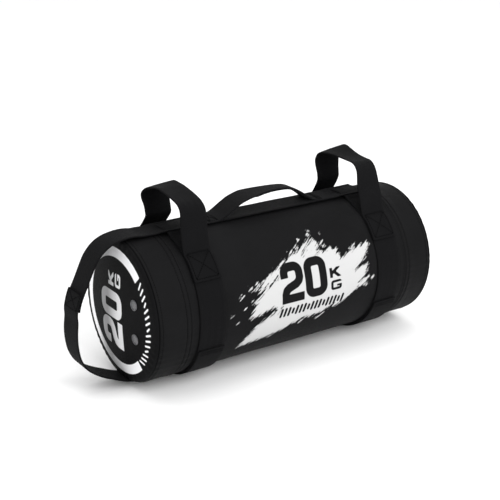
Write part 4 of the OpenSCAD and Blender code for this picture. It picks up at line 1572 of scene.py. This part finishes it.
def add_camera():
    """The camera: it looks along one direction at a point beside the bag's middle."""
    azimuth, elevation = CAMERA_AZIMUTH, CAMERA_ELEVATION
    back = Vector((math.sin(azimuth) * math.cos(elevation),
                   -math.cos(azimuth) * math.cos(elevation), math.sin(elevation)))
    right = Vector((math.cos(azimuth), math.sin(azimuth), 0))
    up = back.cross(right)
    aim = Vector(AXIS) + (right * AIM_RIGHT + up * AIM_UP) * RADIUS
    data = bpy.data.cameras.new("view")
    data.lens = CAMERA_LENS
    data.sensor_width = CAMERA_SENSOR
    data.dof.use_dof = False
    camera = bpy.data.objects.new("view", data)
    turned = Matrix((right, up, back)).transposed().to_4x4()
    camera.matrix_world = Matrix.Translation(aim + back * CAMERA_AWAY * RADIUS) @ turned
    bpy.context.scene.collection.objects.link(camera)
    bpy.context.scene.camera = camera


def add_light(name, place, size, power):
    """A square soft light that faces the bag."""
    data = bpy.data.lights.new(name, "AREA")
    data.shape = "SQUARE"
    data.size = size
    data.energy = power
    light = bpy.data.objects.new(name, data)
    light.location = place
    direction = Vector(LIGHT_AIM) - Vector(place)
    light.rotation_euler = direction.to_track_quat("-Z", "Y").to_euler()
    bpy.context.scene.collection.objects.link(light)


def floor_material():
    """Pale paper with a very faint tooth."""
    made, tree, shader = material("pale_floor")
    tooth = noise(tree, object_place(tree), 60, 3)
    pale = graded_colour(tree, tooth, (0.93, 0.93, 0.93), (0.95, 0.95, 0.95))
    set_inputs(tree, shader, {"Base Color": pale, "Roughness": 0.9, "Specular IOR Level": 0.1})
    return made


class BAG_OT_stage(Operator):
    """Make the floor, the soft lights and the camera"""

    bl_idname = "bag.stage"
    bl_label = "Stage"

    def execute(self, context):
        reach = FLOOR_REACH
        mesh = bpy.data.meshes.new("floor")
        mesh.from_pydata([(-reach, -reach, 0), (reach, -reach, 0), (reach, reach, 0),
                          (-reach, reach, 0)], [], [(0, 1, 2, 3)])
        floor = bpy.data.objects.new("floor", mesh)
        context.scene.collection.objects.link(floor)
        floor.data.materials.append(floor_material())
        floor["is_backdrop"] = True
        world = bpy.data.worlds.new("studio")
        world.use_nodes = True
        sky = world.node_tree.nodes["Background"]
        sky.inputs["Color"].default_value = (1, 1, 1, 1)
        sky.inputs["Strength"].default_value = SKY_STRENGTH
        context.scene.world = world
        context.scene.view_settings.view_transform = "Standard"
        for light in LIGHTS:
            add_light(*light)
        add_camera()
        return {"FINISHED"}


# ---------------------------------------------------------------------------------------------
# Panel and registration

SETTINGS = {"bag_cover": CoverSettings, "bag_webbing": WebbingSettings,
            "bag_print": PrintSettings}
STEPS = (BAG_OT_stage, BAG_OT_cover, BAG_OT_end_caps, BAG_OT_vents, BAG_OT_bands,
         BAG_OT_long_straps, BAG_OT_cross_loops, BAG_OT_centre_handle, BAG_OT_stitching,
         BAG_OT_inner_pieces)


class VIEW3D_PT_training_bag(Panel):
    """The steps that build the bag, and its sizes and colours"""

    bl_label = "Weighted Training Bag"
    bl_space_type = "VIEW_3D"
    bl_region_type = "UI"
    bl_category = "Training Bag"

    def draw(self, context):
        for settings in SETTINGS:
            group = getattr(context.scene, settings)
            for name in group.bl_rna.properties.keys():
                if name not in ("name", "rna_type"):
                    self.layout.prop(group, name)
        for step in STEPS:
            self.layout.operator(step.bl_idname)


def register():
    """Registers the settings, the steps and the panel."""
    for kind in (*SETTINGS.values(), *STEPS, VIEW3D_PT_training_bag):
        bpy.utils.register_class(kind)
    for name, kind in SETTINGS.items():
        setattr(bpy.types.Scene, name, PointerProperty(type=kind))


def unregister():
    """Takes back what register did."""
    for name in SETTINGS:
        delattr(bpy.types.Scene, name)
    for kind in (VIEW3D_PT_training_bag, *reversed(STEPS), *SETTINGS.values()):
        bpy.utils.unregister_class(kind)


def main():
    """Builds the whole model, and works out the size of the frame and of the finished model."""
    register()
    for step in STEPS:
        group, name = step.bl_idname.split(".")
        getattr(getattr(bpy.ops, group), name)()
    sizes = {name: [[float(v) for v in corner] for corner in box]
             for name, box in (("cad", CAD_BOX), ("visual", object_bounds()))}


if __name__ == "__main__":
    main()
